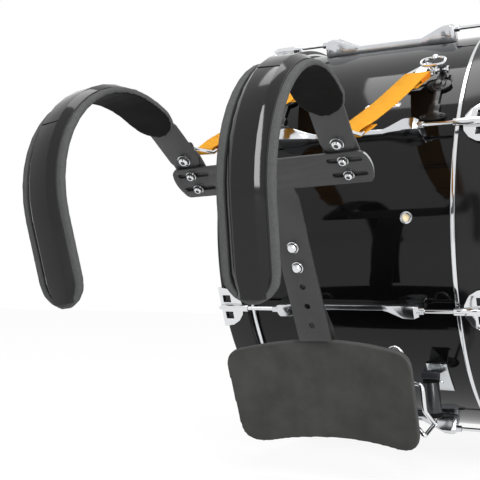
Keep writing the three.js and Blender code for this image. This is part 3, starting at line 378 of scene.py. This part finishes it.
def loop_wire(name, centre, first, second, half_a, half_b, radius, mat, body, corner=0.35):
    """Closed wire ring: an oval where the corner is near 1, a rounded rectangle where it is small."""
    rings = []
    normal = first.cross(second).normalized()
    spots = []
    for i in range(WIRE_STEPS):
        turn = 2 * math.pi * i / WIRE_STEPS
        a = math.copysign(abs(math.cos(turn)) ** corner, math.cos(turn)) * half_a
        b = math.copysign(abs(math.sin(turn)) ** corner, math.sin(turn)) * half_b
        spots.append(centre + first * a + second * b)
    for i, spot in enumerate(spots):
        run = (spots[(i + 1) % WIRE_STEPS] - spots[i - 1]).normalized()
        side = run.cross(normal).normalized()
        ring = []
        for k in range(WIRE_SIDES):
            turn = 2 * math.pi * k / WIRE_SIDES
            ring.append(spot + (side * math.cos(turn) + normal * math.sin(turn)) * radius)
        rings.append(ring)
    verts, faces = loft(rings, False, True)
    return add(name, verts, faces, mat, body)


def box_solid(name, matrix, size, mat, body, bevel=0.0006):
    half = [s / 2 for s in size]
    corners = [(a, b, c) for a in (-1, 1) for b in (-1, 1) for c in (-1, 1)]
    verts = [matrix @ Vector((a * half[0], b * half[1], c * half[2])) for a, b, c in corners]
    faces = [(0, 1, 3, 2), (4, 6, 7, 5), (0, 4, 5, 1), (2, 3, 7, 6), (0, 2, 6, 4), (1, 5, 7, 3)]
    obj = add(name, verts, faces, mat, None, smooth=False)
    rounded(obj, bevel)
    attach(obj, body)
    return obj


# Screw head: its outline in shares of the radius and height, then its recess
DOME = ((0, 0), (1, 0), (1, 0.3), (0.86, 0.72), (0.6, 1))
RECESS = ((0.42, 1), (0.378, 0.55), (0, 0.55))


def screw(name, place, axis, size, body, mat=None, recess=True):
    """Domed head of a radius and height, with a round recess."""
    radius, height = size
    profile = [(a * radius, b * height) for a, b in DOME + (RECESS if recess else ((0, 1),))]
    return turned(name, place, axis, profile, mat or CHROME, body, 20)


def washer(name, place, axis, size, body):
    """Flat chrome ring of an inner radius, outer radius and height."""
    inner, outer, height = size
    profile = rounded_profile([(inner, 0), (outer, 0), (outer, height), (inner, height)], height / 4, 2)
    return turned(name, place, axis, profile, CHROME, body, 24)


# Drum
def on_drum(x, degrees, radius):
    """Point over the shell: the angle goes up from the wearer's side."""
    turn = math.radians(degrees)
    return DRUM + Vector((x, -math.cos(turn) * radius, math.sin(turn) * radius))


def out_of_drum(degrees):
    turn = math.radians(degrees)
    return Vector((0, -math.cos(turn), math.sin(turn)))


BEARING = 0.0025
VENT_BORE = 0.0072
VENT_CUT = 0.03
VENT_DISC, VENT_DISC_THICK, VENT_DISC_IN = 0.0051, 0.0012, 0.0032


def make_shell():
    """Shell with its edges turned in, and the vent's bore cut through its wall."""
    inner = SHELL_RADIUS - WALL
    edge = BEARING
    half = SHELL_HALF
    profile = [
        (inner, -half + WALL), (SHELL_RADIUS - edge, -half), (SHELL_RADIUS, -half + edge),
        (SHELL_RADIUS, half - edge), (SHELL_RADIUS - edge, half), (inner, half - WALL), (inner, -half + WALL),
    ]
    shell = turned("shell", DRUM, X_AXIS, profile, LACQUER, None, RING_SIDES)
    shell.modifiers.clear()
    low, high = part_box("vent_grommet")
    middle = (low + high) / 2
    bore = [(0, -VENT_CUT), (VENT_BORE, -VENT_CUT), (VENT_BORE, VENT_CUT), (0, VENT_CUT)]
    hole = turned("vent_cutter", middle, Y_AXIS, bore, WOOD, None)
    hole.modifiers.clear()
    cut = shell.modifiers.new("vent", "BOOLEAN")
    cut.operation = "DIFFERENCE"
    cut.object = hole
    applied(shell)
    bpy.data.objects.remove(hole)
    by_angle(shell, SHARP_FINE)
    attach(shell, "drum")
    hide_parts("drum_shell")
    disc = [(0, 0), (VENT_DISC, 0), (VENT_DISC, VENT_DISC_THICK), (0, VENT_DISC_THICK)]
    turned("vent_wood", Vector((middle.x, low.y + VENT_DISC_IN, middle.z)), Y_AXIS, disc, WOOD, "drum")


FILM_THICK = 0.0009
SKIRT_OUT = 0.0012
FLESH_WALL = 0.0045
HOOP_ROUND = 0.003
FLESH_ROUND = 0.0018


def make_ends(word, side):
    """Head, counterhoop and flesh hoop at one end of the drum."""
    out = X_AXIS * side
    head_x = HEAD_HIGH.x
    film = FILM_THICK
    skirt = SHELL_RADIUS + SKIRT_OUT
    # The flat film, its round edge and its skirt, then back along the inside
    face = [
        (0, head_x), (SHELL_RADIUS - 0.006, head_x), (SHELL_RADIUS - 0.003, head_x - 0.0006),
        (skirt - 0.0004, head_x - 0.003), (skirt, head_x - 0.006), (skirt, HEAD_LOW.x),
        (skirt - film, HEAD_LOW.x), (skirt - film, head_x - 0.005), (SHELL_RADIUS - 0.003, head_x - film - 0.001),
        (0, head_x - film), (0, head_x),
    ]
    head = turned(f"head_{word}", DRUM, out, face, FILM, "drum", RING_SIDES)
    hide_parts(f"batter_head_{word}")
    inner = HOOP_RADIUS - HOOP_WALL
    corners = [(inner, HOOP_LOW.x), (HOOP_RADIUS, HOOP_LOW.x), (HOOP_RADIUS, HOOP_HIGH.x), (inner, HOOP_HIGH.x)]
    hoop = turned(f"hoop_{word}", DRUM, out, rounded_profile(corners, HOOP_ROUND), HOOP_PAINT, "drum", RING_SIDES)
    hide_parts(f"counterhoop_{word}")
    high = (FLESH_HIGH.z - FLESH_LOW.z) / 2
    low = high - FLESH_WALL
    corners = [(low, FLESH_LOW.x), (high, FLESH_LOW.x), (high, FLESH_HIGH.x), (low, FLESH_HIGH.x)]
    flesh = turned(f"flesh_{word}", DRUM, out, rounded_profile(corners, FLESH_ROUND), CHROME, "drum", RING_SIDES)
    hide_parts(f"flesh_hoop_{word}")


make_shell()
for word, side in SIDES.items():
    make_ends(word, side)


def finish_node(name, mat, bevel, split):
    """Gives a CAD node that stays its material, rounded edges and smooth faces."""
    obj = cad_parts[name]
    obj.data.materials.clear()
    obj.data.materials.append(mat)
    obj.data.polygons.foreach_set("use_smooth", [True] * len(obj.data.polygons))
    weld = obj.modifiers.new("weld", "WELD")
    weld.merge_threshold = WELD
    if bevel:
        rounded(obj, bevel, split - 8)
    by_angle(obj, split)


# Start of the node's name, material and width of its rounded edges
FINISHES = {
    "lug": (CASTING, 0.0012), "claw": (CHROME, 0.0006), "vent": (CHROME, 0.0004),
    "strap_anchor": (ANCHOR_BLACK, 0.0008), "strap_hook": (CHROME, 0), "strap_frame": (CHROME, 0),
    "strap_link": (CHROME, 0), "hook_seat": (ZINC, 0.0004), "hook_sleeve": (RUBBER, 0.001),
    "chest_plate": (POWDER, 0.0007), "belly_plate": (POWDER, 0.0006), "belly_bar": (POWDER, 0.0006),
    "shoulder_bracket": (POWDER, 0.0006), "arm_strap": (POWDER, 0.0006), "arm_cover": (GLOSS, 0.0009),
}
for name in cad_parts:
    for start, (mat, bevel) in FINISHES.items():
        if name.startswith(start):
            finish_node(name, mat, bevel, SHARP_FINE if start == "arm_cover" else SHARP)
            break


# Soft pieces
FOAM_VOXEL = 0.0016
FOAM_SMOOTHING = 8
PAD_SMOOTHING = 12


def soft_copy(node_name, name, body, smoothing, mat):
    """Rounded foam piece on the place of a CAD solid."""
    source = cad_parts[node_name]
    obj = bpy.data.objects.new(name, source.data.copy())
    bpy.context.collection.objects.link(obj)
    obj.data.materials.clear()
    obj.data.materials.append(mat)
    weld = obj.modifiers.new("weld", "WELD")
    weld.merge_threshold = WELD
    mesh = obj.modifiers.new("remesh", "REMESH")
    mesh.mode = "VOXEL"
    mesh.voxel_size = FOAM_VOXEL
    mesh.use_smooth_shade = True
    smooth = obj.modifiers.new("smooth", "SMOOTH")
    smooth.iterations = smoothing
    smooth.factor = 0.5
    applied(obj)
    obj.data.polygons.foreach_set("use_smooth", [True] * len(obj.data.polygons))
    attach(obj, body)
    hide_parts(node_name)
    return obj


def paint_faces(obj, mat, chosen):
    """Gives the chosen faces a second material, by their centre and normal."""
    obj.data.materials.append(mat)
    index = len(obj.data.materials) - 1
    for face in obj.data.polygons:
        if chosen(face.center, face.normal):
            face.material_index = index


# Arms. Their arches run over the shoulders around ARCH_MIDDLE, in the part's frame.
ARCH_MIDDLE = Vector((0, -0.015, -0.11))
BRACKET_AT = {"left": 0.1085, "right": 0.1045}
PIVOT_UP = 0.0128
FLARE = {"left": math.radians(7), "right": math.radians(-4.6)}
STRAP_BACK = -0.0063
HALF_STRAP = 0.0015
FACING = 0.75
COVER_BASE = 0.021
COVER_SHIFT = 0.0012


def arm_matrix(word, side):
    """Matrix of an arm's own frame at its pivot: Y along the arm, Z out of its hollow side."""
    swing = Matrix.Translation(Vector((side * BRACKET_AT[word], PIVOT_UP, STRAP_BACK + HALF_STRAP)))
    return CHEST @ swing @ Matrix.Rotation(FLARE[word], 4, "Z")


def faces_shoulder(centre, normal):
    inward = Vector((0, ARCH_MIDDLE.y - centre.y, min(0, ARCH_MIDDLE.z - centre.z)))
    return normal.dot(inward.normalized()) > FACING


BELLY_OUT = (BELLY.to_3x3() @ UP).normalized()
for word in SIDES:
    foam = soft_copy(f"arm_foam_{word}", f"foam_{word}", f"arm_{word}", FOAM_SMOOTHING, FOAM)
    paint_faces(foam, LINER, faces_shoulder)
pad = soft_copy("belly_pad", "belly_cushion", "drum", PAD_SMOOTHING, PAD)
paint_faces(pad, PAD_EDGE, lambda centre, normal: abs(normal.dot(BELLY_OUT)) < FACING)


# The chest plate's end faces are painted bright zinc as a painted highlight line, and each hook seat's front is
# painted dark as painted shade
HIGHLIGHT_ENDS_FROM = 0.129
HIGHLIGHT_ENDS_FACING = 0.7
SEAT_SHADE_DEPTH = 0.017
paint_faces(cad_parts["chest_plate"], ZINC,
            lambda centre, normal: abs(normal.x) > HIGHLIGHT_ENDS_FACING and abs(centre.x) > HIGHLIGHT_ENDS_FROM)
# Each hook seat's front faces are painted dark rubber: painted shade under the hood, where the sleeve's black top sits
for word in SIDES:
    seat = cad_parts[f"hook_seat_{word}"]
    front = min((seat.matrix_world @ vert.co).y for vert in seat.data.vertices)
    paint_faces(seat, RUBBER, lambda centre, normal: centre.y < front + SEAT_SHADE_DEPTH)


# Webbing straps. Along a strap, places are pairs of distance from the top bar and height over the middle.
WEB_WIDTH = 0.038
WEB_NARROW = 0.025
WEB_THICK = 0.0017
WEB_TAPER = 0.034
BAR_WRAP = 0.0042
TOP_TAIL = 0.07
FOOT_TAIL = 0.045
TAIL_LIFT = 0.0016
SAG = 0.64
WEAVE = 28
WEB_SECTION = ((-1, -0.5), (-0.96, -1), (0, -1), (0.96, -1), (1, -0.5),
               (1, 0.5), (0.96, 1), (0, 1), (-0.96, 1), (-1, 0.5))
LINK_SHIFT = Vector((-0.0025, 0.0364, 0.0019))
BUCKLE_SHARE = 0.57
BUCKLE_HALF = (WEB_WIDTH / 2 + 0.0046, 0.005)
BUCKLE_WIRE = 0.0017
STITCH, STITCH_FROM, STITCH_PITCH, STITCH_LIFT = (0.03, 0.0007, 0.0005), 0.012, 0.03, 0.94
FOLD_SHADE_SIZE, FOLD_SHADE_AT, FOLD_SHADE_IN = (0.0016, 0.044, 0.0052), 0.024, 0.0006
TRIM_LIFT = 0.0004
HOOK_PEAK = Vector((0.104, -0.252, 0.238))
WEB_TOP = Vector((0.094, -0.268, 0.218))
EYE_BACK = -0.0259


def webbing_ends(word, side):
    """Both ends of a strap's middle, and its directions along, across and out."""
    top = DRUM + WEB_TOP * Vector((side, 1, 1))
    foot = CHEST @ Vector((side * BRACKET_AT[word], PIVOT_UP, EYE_BACK)) + LINK_SHIFT * Vector((side, 1, 1))
    along = (foot - top).normalized()
    aside = (X_AXIS - along * along.dot(X_AXIS)).normalized()
    return top, foot, along, aside, along.cross(aside).normalized()


def webbing_path(length):
    """From the upper tail around the top bar, down the strap and around the wire link to the lower tail."""
    path = [(TOP_TAIL, -BAR_WRAP + TAIL_LIFT)]
    for i in range(5):
        path.append((TOP_TAIL * (4 - i) / 5, -BAR_WRAP + TAIL_LIFT * (4 - i) / 5))
    for i in range(1, 9):
        turn = math.pi * i / 8
        path.append((-BAR_WRAP * math.sin(turn), -BAR_WRAP * math.cos(turn)))
    for i in range(1, 20):
        share = i / 20
        path.append((length * share, BAR_WRAP * (1 - SAG * math.sin(math.pi * share) ** 2)))
    for i in range(9):
        turn = math.pi * i / 8
        path.append((length + BAR_WRAP * math.sin(turn), BAR_WRAP * math.cos(turn)))
    for i in range(1, 5):
        path.append((length - FOOT_TAIL * i / 4, -BAR_WRAP + TAIL_LIFT * i / 4))
    return path


def make_webbing(word, side):
    """Strap with its slider, stitches, strips of painted fold shade at its upper edges and the metal above it."""
    top, foot, along, aside, normal = webbing_ends(word, side)
    if normal.z < 0:
        normal = -normal
    length = (foot - top).length
    path = webbing_path(length)
    rings = []
    run = 0.0
    before = None
    uvs = []
    for i, (a, b) in enumerate(path):
        here = Vector(path[max(0, i - 1)])
        there = Vector(path[min(len(path) - 1, i + 1)])
        slope = (there - here).normalized()
        out = Vector((-slope.y, slope.x)) * WEB_THICK / 2
        share = min(1, max(0, (length - BAR_WRAP - a) / WEB_TAPER))
        half = (WEB_NARROW + (WEB_WIDTH - WEB_NARROW) * share) / 2
        run += (Vector((a, b)) - before).length if before is not None else 0.0
        before = Vector((a, b))
        ring = []
        for w, h in WEB_SECTION:
            ring.append(top + along * (a + out.x * h) + normal * (b + out.y * h) + aside * (w * half))
            uvs.append((w * half * WEAVE, run * WEAVE))
        rings.append(ring)
    verts, faces = loft(rings)
    body = f"webbing_{word}"
    strap = add(f"strap_{word}", verts, faces, ORANGE, body, uvs=uvs)
    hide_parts(f"webbing_{word}")
    centre = top + along * (length * BUCKLE_SHARE) - normal * TRIM_LIFT
    loop_wire(f"buckle_{word}", centre, aside, along, *BUCKLE_HALF, BUCKLE_WIRE, CHROME, body)
    turn = Matrix((aside, along, normal)).transposed().to_4x4()
    for k in range(2):
        line = top + along * (TOP_TAIL - STITCH_FROM - STITCH_PITCH * k) + normal * (BAR_WRAP * STITCH_LIFT)
        box_solid(f"stitch_{word}_{k}", Matrix.Translation(line) @ turn, STITCH, ORANGE, body, 0.0002)
    # Deeper red strips along the upper edges: painted fold shade
    for k, w in enumerate((-1, 1)):
        edge = top + along * FOLD_SHADE_AT + normal * TRIM_LIFT + aside * (w * (WEB_WIDTH / 2 - FOLD_SHADE_IN))
        box_solid(f"fold_shade_{word}_{k}", Matrix.Translation(edge) @ turn, FOLD_SHADE_SIZE, FOLD_SHADE_WEBBING, body, 0.0005)
    make_strap_plate(word, side)


# Flat metal above the strap: shares of its run and half widths
STRAP_PLATE = ((0.16, 0.0078), (0.3, 0.008), (0.55, 0.0066), (0.78, 0.0056), (0.93, 0.005))
PLATE_HALF_THICK = 0.0011
SNAP_SHIFT = Vector((0.0085, 0.0, 0.0035))
SNAP_LEAN = Vector((0, 0.62, 0.78))
SNAP_HALF = (0.0185, 0.0085)
SNAP_WIRE = 0.0021
KNOB_SHIFT = Vector((0.004, 0, 0.004))
KNOB = ((0, -0.001), (0.0036, -0.001), (0.0052, 0.0012), (0.0048, 0.0042), (0.0028, 0.006), (0, 0.0064))


def make_strap_plate(word, side):
    """Flat metal between the strap's bar and the swivel, and the snap ring under the swivel's knob."""
    top, _, _, aside, _ = webbing_ends(word, side)
    peak = DRUM + HOOK_PEAK * Vector((side, 1, 1))
    rise = (peak - top).normalized()
    flat = (aside - rise * rise.dot(aside)).normalized()
    face = rise.cross(flat)
    rings = []
    for share, half in STRAP_PLATE:
        spot = top + (peak - top) * share
        rings.append([spot + flat * (a * half) + face * (b * PLATE_HALF_THICK)
                      for a, b in ((-1, -1), (1, -1), (1, 1), (-1, 1))])
    verts, faces = loft(rings)
    add(f"strap_plate_{word}", verts, faces, ZINC, f"webbing_{word}")
    mirror = Vector((side, 1, 1))
    centre = peak + SNAP_SHIFT * mirror
    loop_wire(f"snap_ring_{word}", centre, X_AXIS, SNAP_LEAN, *SNAP_HALF, SNAP_WIRE, CHROME, "drum", 0.7)
    turned(f"snap_knob_{word}", centre + KNOB_SHIFT * mirror, Vector((0, -0.3, 1)), KNOB, CHROME, "drum", 20)


for word, side in SIDES.items():
    make_webbing(word, side)


# Fasteners
CHEST_OUT = (CHEST.to_3x3() @ UP).normalized()
SLOT_DOWN = (0.0116, 0.035)
PIVOT_SEAT = -0.003
GAP = 0.0003
SLOT_WASHER, SLOT_SCREW, SLOT_LIFT = (0.0033, 0.0069, 0.0012), (0.006, 0.0046), 0.0011
PIVOT_WASHER, PIVOT_SCREW, PIVOT_LIFT = (0.0042, 0.0086, 0.0014), (0.007, 0.0042), 0.0014
STEM_WASHER, STEM_SCREW, STEM_LIFT = (0.004, 0.0082, 0.0012), (0.0072, 0.0056), 0.0012


def make_bracket_bolts(word, side):
    x = side * BRACKET_AT[word]
    body = f"bracket_{word}"
    for k, down in enumerate(SLOT_DOWN):
        place = CHEST @ Vector((x, -down, GAP))
        washer(f"slot_washer_{word}_{k}", place, CHEST_OUT, SLOT_WASHER, body)
        screw(f"slot_screw_{word}_{k}", place + CHEST_OUT * SLOT_LIFT, CHEST_OUT, SLOT_SCREW, body)
    place = CHEST @ Vector((x, PIVOT_UP, PIVOT_SEAT))
    washer(f"pivot_washer_{word}", place, CHEST_OUT, PIVOT_WASHER, body)
    screw(f"pivot_screw_{word}", place + CHEST_OUT * PIVOT_LIFT, CHEST_OUT, PIVOT_SCREW, body)


for word, side in SIDES.items():
    make_bracket_bolts(word, side)

STEM_BEND = 0.0688
STEM_FIRST = 0.0664
STEM_PITCH = 0.029
STEM_TURN = CHEST_LEAN - STEM_LEAN
STEM_OUT = (CHEST.to_3x3() @ Vector((0, math.sin(STEM_TURN), math.cos(STEM_TURN)))).normalized()


def on_stem(distance, height):
    """Point over the stem, from the bend below the chest plate downwards."""
    y = -STEM_BEND - distance * math.cos(STEM_TURN) + height * math.sin(STEM_TURN)
    z = distance * math.sin(STEM_TURN) + height * math.cos(STEM_TURN)
    return CHEST @ Vector((0, y, z))


for k in range(2):
    at = on_stem(STEM_FIRST + k * STEM_PITCH, GAP)
    washer(f"height_washer_{k}", at, STEM_OUT, STEM_WASHER, "drum")
    screw(f"height_screw_{k}", at + STEM_OUT * STEM_LIFT, STEM_OUT, STEM_SCREW, "drum", recess=False)

# Strap anchors: screws through the foot, a boss on the disc and nuts under the hook
ANCHOR_X = 0.125
FOOT_ANGLE = 26.7
DISC_ANGLE = 37.5
NECK_ANGLE = 42.7
PLATE_TOP = SHELL_RADIUS + 0.0045
NUT_LIFT = 0.004
FOOT_SCREW = (0.003, 0.002)
FOOT_SCREWS_AT = (-0.0135, 0.0135)
EYE_NUTS_AT = (-0.0105, 0.0072)
BOSS = ((0, 0), (0.011, 0), (0.0095, 0.002), (0.0055, 0.003), (0.0045, 0.006), (0, 0.0065))
NUT = ((0, 0), (0.0052, 0), (0.0058, 0.0006), (0.0058, 0.0029), (0.0052, 0.0035), (0, 0.0035))
for word, side in SIDES.items():
    x = side * ANCHOR_X
    for k, shift in enumerate(FOOT_SCREWS_AT):
        place = on_drum(x + shift, FOOT_ANGLE, PLATE_TOP)
        screw(f"foot_screw_{word}_{k}", place, out_of_drum(FOOT_ANGLE), FOOT_SCREW, "drum", ANCHOR_BLACK)
    turned(f"disc_boss_{word}", on_drum(x, DISC_ANGLE, PLATE_TOP), out_of_drum(DISC_ANGLE), BOSS, ANCHOR_BLACK, "drum")
    for k, shift in enumerate(EYE_NUTS_AT):
        place = on_drum(x + shift, NECK_ANGLE, PLATE_TOP + NUT_LIFT)
        turned(f"eye_nut_{word}_{k}", place, X_AXIS, NUT, CHROME, "drum", 6)

# Drum hooks: smooth bent rods, the bands of each sleeve, and the rod's bend over the belly plate's corner.
# Rod corners lie in the belly plate's frame, at ROD_BACK where they run behind the plate.
SLEEVE_TOP = Vector((0.1105, -0.2621, -0.2319))
SLEEVE_FOOT = Vector((0.117, -0.2621, -0.2999))
ROD_END = 0.0094
ROD_RADIUS = 0.0032
ROD_BACK = -0.039
ROD_ROUND = 0.011
ROD_UPPER = ((0.09, -0.056, ROD_BACK), (0.122, -0.056, ROD_BACK), (0.1345, -0.052, -0.024), (0.1345, -0.086, -0.018))
ROD_LOWER = ((0.1275, -0.127, -0.022), (0.113, -0.122, ROD_BACK), (0.09, -0.12, ROD_BACK))
LOWER_START = 0.002
LOWER_ROUND = 0.009
ROD_SIDES = 16
BAND_INNER, BAND_OUTER = 0.0108, 0.0124
BAND_ROUND = 0.0006
BANDS = ((0.0, 0.007), (0.051, 0.0066))
BEND_BACK = -0.041
BEND_RADIUS = 0.0023
BEND_ROUND = 0.003
BEND = ((0.0865, -0.024), (0.0885, -0.011), (0.0925, -0.006), (0.098, -0.0042), (0.104, -0.0065),
        (0.1087, -0.014), (0.1105, -0.03))


def on_belly(points, side):
    return [BELLY @ Vector((side * a, b, c)) for a, b, c in points]


def make_hook(word, side):
    """Hook rod of one side, its lower branch and bend, and the sleeve's bands."""
    top = DRUM + SLEEVE_TOP * Vector((side, 1, 1))
    foot = DRUM + SLEEVE_FOOT * Vector((side, 1, 1))
    lean = (foot - top).normalized()
    main = on_belly(ROD_UPPER, side) + [foot, top - lean * ROD_END]
    rod = tube(f"rod_{word}", rounded_path(main, ROD_ROUND), ROD_RADIUS, CHROME, "drum", ROD_SIDES)
    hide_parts(f"hook_rod_{word}")
    lower = [foot - lean * LOWER_START] + on_belly(ROD_LOWER, side)
    tube(f"rod_low_{word}", rounded_path(lower, LOWER_ROUND), ROD_RADIUS, CHROME, "drum", ROD_SIDES)
    for k, (at, tall) in enumerate(BANDS):
        corners = [(BAND_INNER, 0), (BAND_OUTER, 0), (BAND_OUTER, tall), (BAND_INNER, tall)]
        profile = rounded_profile(corners, BAND_ROUND, 2)
        turned(f"sleeve_band_{word}_{k}", top + lean * at, lean, profile, LINER, "drum")
    bend = on_belly([(a, b, BEND_BACK) for a, b in BEND], side)
    tube(f"rod_bend_{word}", rounded_path(bend, BEND_ROUND, 2), BEND_RADIUS, CHROME, "drum")


for word, side in SIDES.items():
    make_hook(word, side)

# Seams of the arm covers, and a near black line around each cover's foot, painted shade where the cover sits on the
# foam. The arm's runs are pairs of length and radius, 0 where it is straight.
ARM_RUNS = ((0.052, 0.0), (0.072, 0.149), (0.080, 0.121), (0.085, 0.133), (0.092, 0.135), (0.098, 0.0))


def arm_place(distance):
    """Place and turn along the arm's straight and round runs, in the arm's own frame."""
    y = z = turn = 0.0
    left = distance
    for i, (length, radius) in enumerate(ARM_RUNS):
        step = min(left, length) if i + 1 < len(ARM_RUNS) else left
        if step <= 0:
            break
        after = turn + (step / radius if radius else 0)
        chord = 2 * radius * math.sin(step / radius / 2) if radius else step
        y += chord * math.cos((turn + after) / 2)
        z += chord * math.sin((turn + after) / 2)
        turn = after
        left -= step
    return y, z, turn


COVER_FACET = 0.012
COVER_TOP = 0.0047
COVER_RUN = (0.070, 0.473)
COVER_ROUND = 0.024
COVER_FOOT = 0.081
SEAM_AT = {"left": 0.272, "right": 0.23}
SEAM_WIDE, SEAM_THICK = 0.0011, 0.0007
EDGE_SHADE_RADIUS = 0.0009
EDGE_SHADE_OUT = 0.0003
EDGE_SHADE_LIFT = 0.0016
EDGE_SHADE_STEP = 0.004
EDGE_SHADE_STEPS = 95
END_SHARES = (0.42, 0.3, 0.2, 0.12, 0.06, 0.02)
END_HALF = 0.22


def cover_edge(matrix):
    """Line around the foot of an arm's cover, up one side and down the other."""
    start, end = COVER_RUN
    marks = [COVER_FOOT + EDGE_SHADE_STEP * k for k in range(EDGE_SHADE_STEPS)]
    marks += [end - COVER_ROUND * share for share in END_SHARES]
    sides = {1: [], -1: []}
    for s in sorted(marks):
        share = min(1, (s - start) / COVER_ROUND, (end - s) / COVER_ROUND)
        wide = COVER_BASE * max(END_HALF, math.sqrt(max(0, 1 - (1 - share) ** 2)))
        y, z, turn = arm_place(s)
        for way, line in sides.items():
            line.append(matrix @ Vector((COVER_SHIFT + way * (wide + EDGE_SHADE_OUT), y - EDGE_SHADE_LIFT * math.sin(turn),
                                         z + EDGE_SHADE_LIFT * math.cos(turn))))
    return sides[1] + sides[-1][::-1]


for word, side in SIDES.items():
    matrix = arm_matrix(word, side)
    y, z, turn = arm_place(SEAM_AT[word])
    local = Matrix.Translation(Vector((COVER_SHIFT, y, z))) @ Matrix.Rotation(turn, 4, "X")
    box_solid(f"cover_seam_{word}", matrix @ local @ Matrix.Translation(Vector((0, 0, -COVER_TOP))),
              (2 * COVER_FACET, SEAM_WIDE, SEAM_THICK), SEAM_AND_EDGE_SHADE, f"arm_{word}", 0.0001)
    # Thin near black tube around the cover's foot: painted shade of the gap between cover and foam
    tube(f"cover_edge_shade_{word}", cover_edge(matrix), EDGE_SHADE_RADIUS, SEAM_AND_EDGE_SHADE, f"arm_{word}", 6)

# Stage
FLOOR = -0.5
FLOOR_HALF = 9
FLOOR_WHITE, FLOOR_SHARE = 1.1, 0.82
SKY_STRENGTH = 0.6
SKY_STOPS = ((0.0, 0.28), (0.44, 0.3), (0.5, 0.16), (0.62, 0.2), (0.74, 0.75), (1.0, 0.95))
corners = [(a * FLOOR_HALF, b * FLOOR_HALF, FLOOR) for a, b in ((-1, -1), (1, -1), (1, 1), (-1, 1))]
floor_mesh = bpy.data.meshes.new("floor")
floor_mesh.from_pydata(corners, [], [(0, 1, 2, 3)])
floor = bpy.data.objects.new("floor", floor_mesh)
bpy.context.collection.objects.link(floor)
paper = shader("pale_paper", (0.8, 0.8, 0.8), 1.0)
floor_mesh.materials.append(paper)


def pale_backdrop(tree, kind, plain, into, strength, share):
    """Mixes white in by the share, for rays from the camera, a gloss or a glass."""
    path = tree.nodes.new("ShaderNodeLightPath")
    white = tree.nodes.new(kind)
    white.inputs["Color"].default_value = (1, 1, 1, 1)
    white.inputs["Strength"].default_value = strength
    seen = path.outputs["Is Camera Ray"]
    for word in ("Is Glossy Ray", "Is Transmission Ray"):
        either = tree.nodes.new("ShaderNodeMath")
        either.operation = "MAXIMUM"
        tree.links.new(seen, either.inputs[0])
        tree.links.new(path.outputs[word], either.inputs[1])
        seen = either.outputs["Value"]
    part = tree.nodes.new("ShaderNodeMath")
    part.operation = "MULTIPLY"
    part.inputs[1].default_value = share
    tree.links.new(seen, part.inputs[0])
    mix = tree.nodes.new("ShaderNodeMixShader")
    tree.links.new(part.outputs["Value"], mix.inputs["Fac"])
    tree.links.new(plain, mix.inputs[1])
    tree.links.new(white.outputs[0], mix.inputs[2])
    tree.links.new(mix.outputs["Shader"], into)


tree = paper.node_tree
pale_backdrop(tree, "ShaderNodeEmission", tree.nodes["Principled BSDF"].outputs["BSDF"],
              tree.nodes["Material Output"].inputs["Surface"], FLOOR_WHITE, FLOOR_SHARE)

world = bpy.data.worlds.new("studio")
bpy.context.scene.world = world
world.use_nodes = True
tree = world.node_tree
sky = tree.nodes["Background"]
coords = tree.nodes.new("ShaderNodeTexCoord")
split = tree.nodes.new("ShaderNodeSeparateXYZ")
ramp = tree.nodes.new("ShaderNodeValToRGB")
span = tree.nodes.new("ShaderNodeMapRange")
span.inputs["From Min"].default_value = -1
tree.links.new(coords.outputs["Generated"], split.inputs["Vector"])
tree.links.new(split.outputs["Z"], span.inputs["Value"])
tree.links.new(span.outputs["Result"], ramp.inputs["Fac"])
tree.links.new(ramp.outputs["Color"], sky.inputs["Color"])
elements = ramp.color_ramp.elements
while len(elements) < len(SKY_STOPS):
    elements.new(0.5)
for element, (spot, level) in zip(elements, SKY_STOPS):
    element.position = spot
    element.color = (level, level, level, 1)
sky.inputs["Strength"].default_value = SKY_STRENGTH
pale_backdrop(tree, "ShaderNodeBackground", sky.outputs["Background"], tree.nodes["World Output"].inputs["Surface"],
              1.0, 1.0)


def lamp(name, place, target, size, power):
    """Rectangular lamp that faces the target."""
    data = bpy.data.lights.new(name, "AREA")
    data.shape = "RECTANGLE"
    data.size, data.size_y = size
    data.energy = power
    obj = bpy.data.objects.new(name, data)
    obj.location = place
    obj.rotation_euler = (Vector(target) - Vector(place)).to_track_quat("-Z", "Y").to_euler()
    bpy.context.collection.objects.link(obj)


lamp("key", (1.6, -1.6, 1.0), (0, 0.3, -0.1), (0.62, 2.8), 72)
lamp("top", (0.0, 0.4, 2.2), (0, 0.4, 0), (1.6, 1.2), 23)

# Camera
data = bpy.data.cameras.new("photo_camera")
data.sensor_width = SENSOR
data.lens = CAMERA_LENS
camera = bpy.data.objects.new("photo_camera", data)
bpy.context.collection.objects.link(camera)
ahead = Vector((
    -math.sin(CAMERA_AZIMUTH) * math.cos(CAMERA_PITCH),
    math.cos(CAMERA_AZIMUTH) * math.cos(CAMERA_PITCH),
    math.sin(CAMERA_PITCH),
))
right = Vector((math.cos(CAMERA_AZIMUTH), math.sin(CAMERA_AZIMUTH), 0))
above = right.cross(ahead)
turned_right = right * math.cos(CAMERA_ROLL) + above * math.sin(CAMERA_ROLL)
turned_up = above * math.cos(CAMERA_ROLL) - right * math.sin(CAMERA_ROLL)
axes = Matrix((turned_right, turned_up, -ahead)).transposed().to_4x4()
camera.matrix_world = Matrix.Translation(Vector(CAMERA_PLACE)) @ axes
bpy.context.scene.camera = camera
bpy.context.scene.view_settings.view_transform = "Standard"
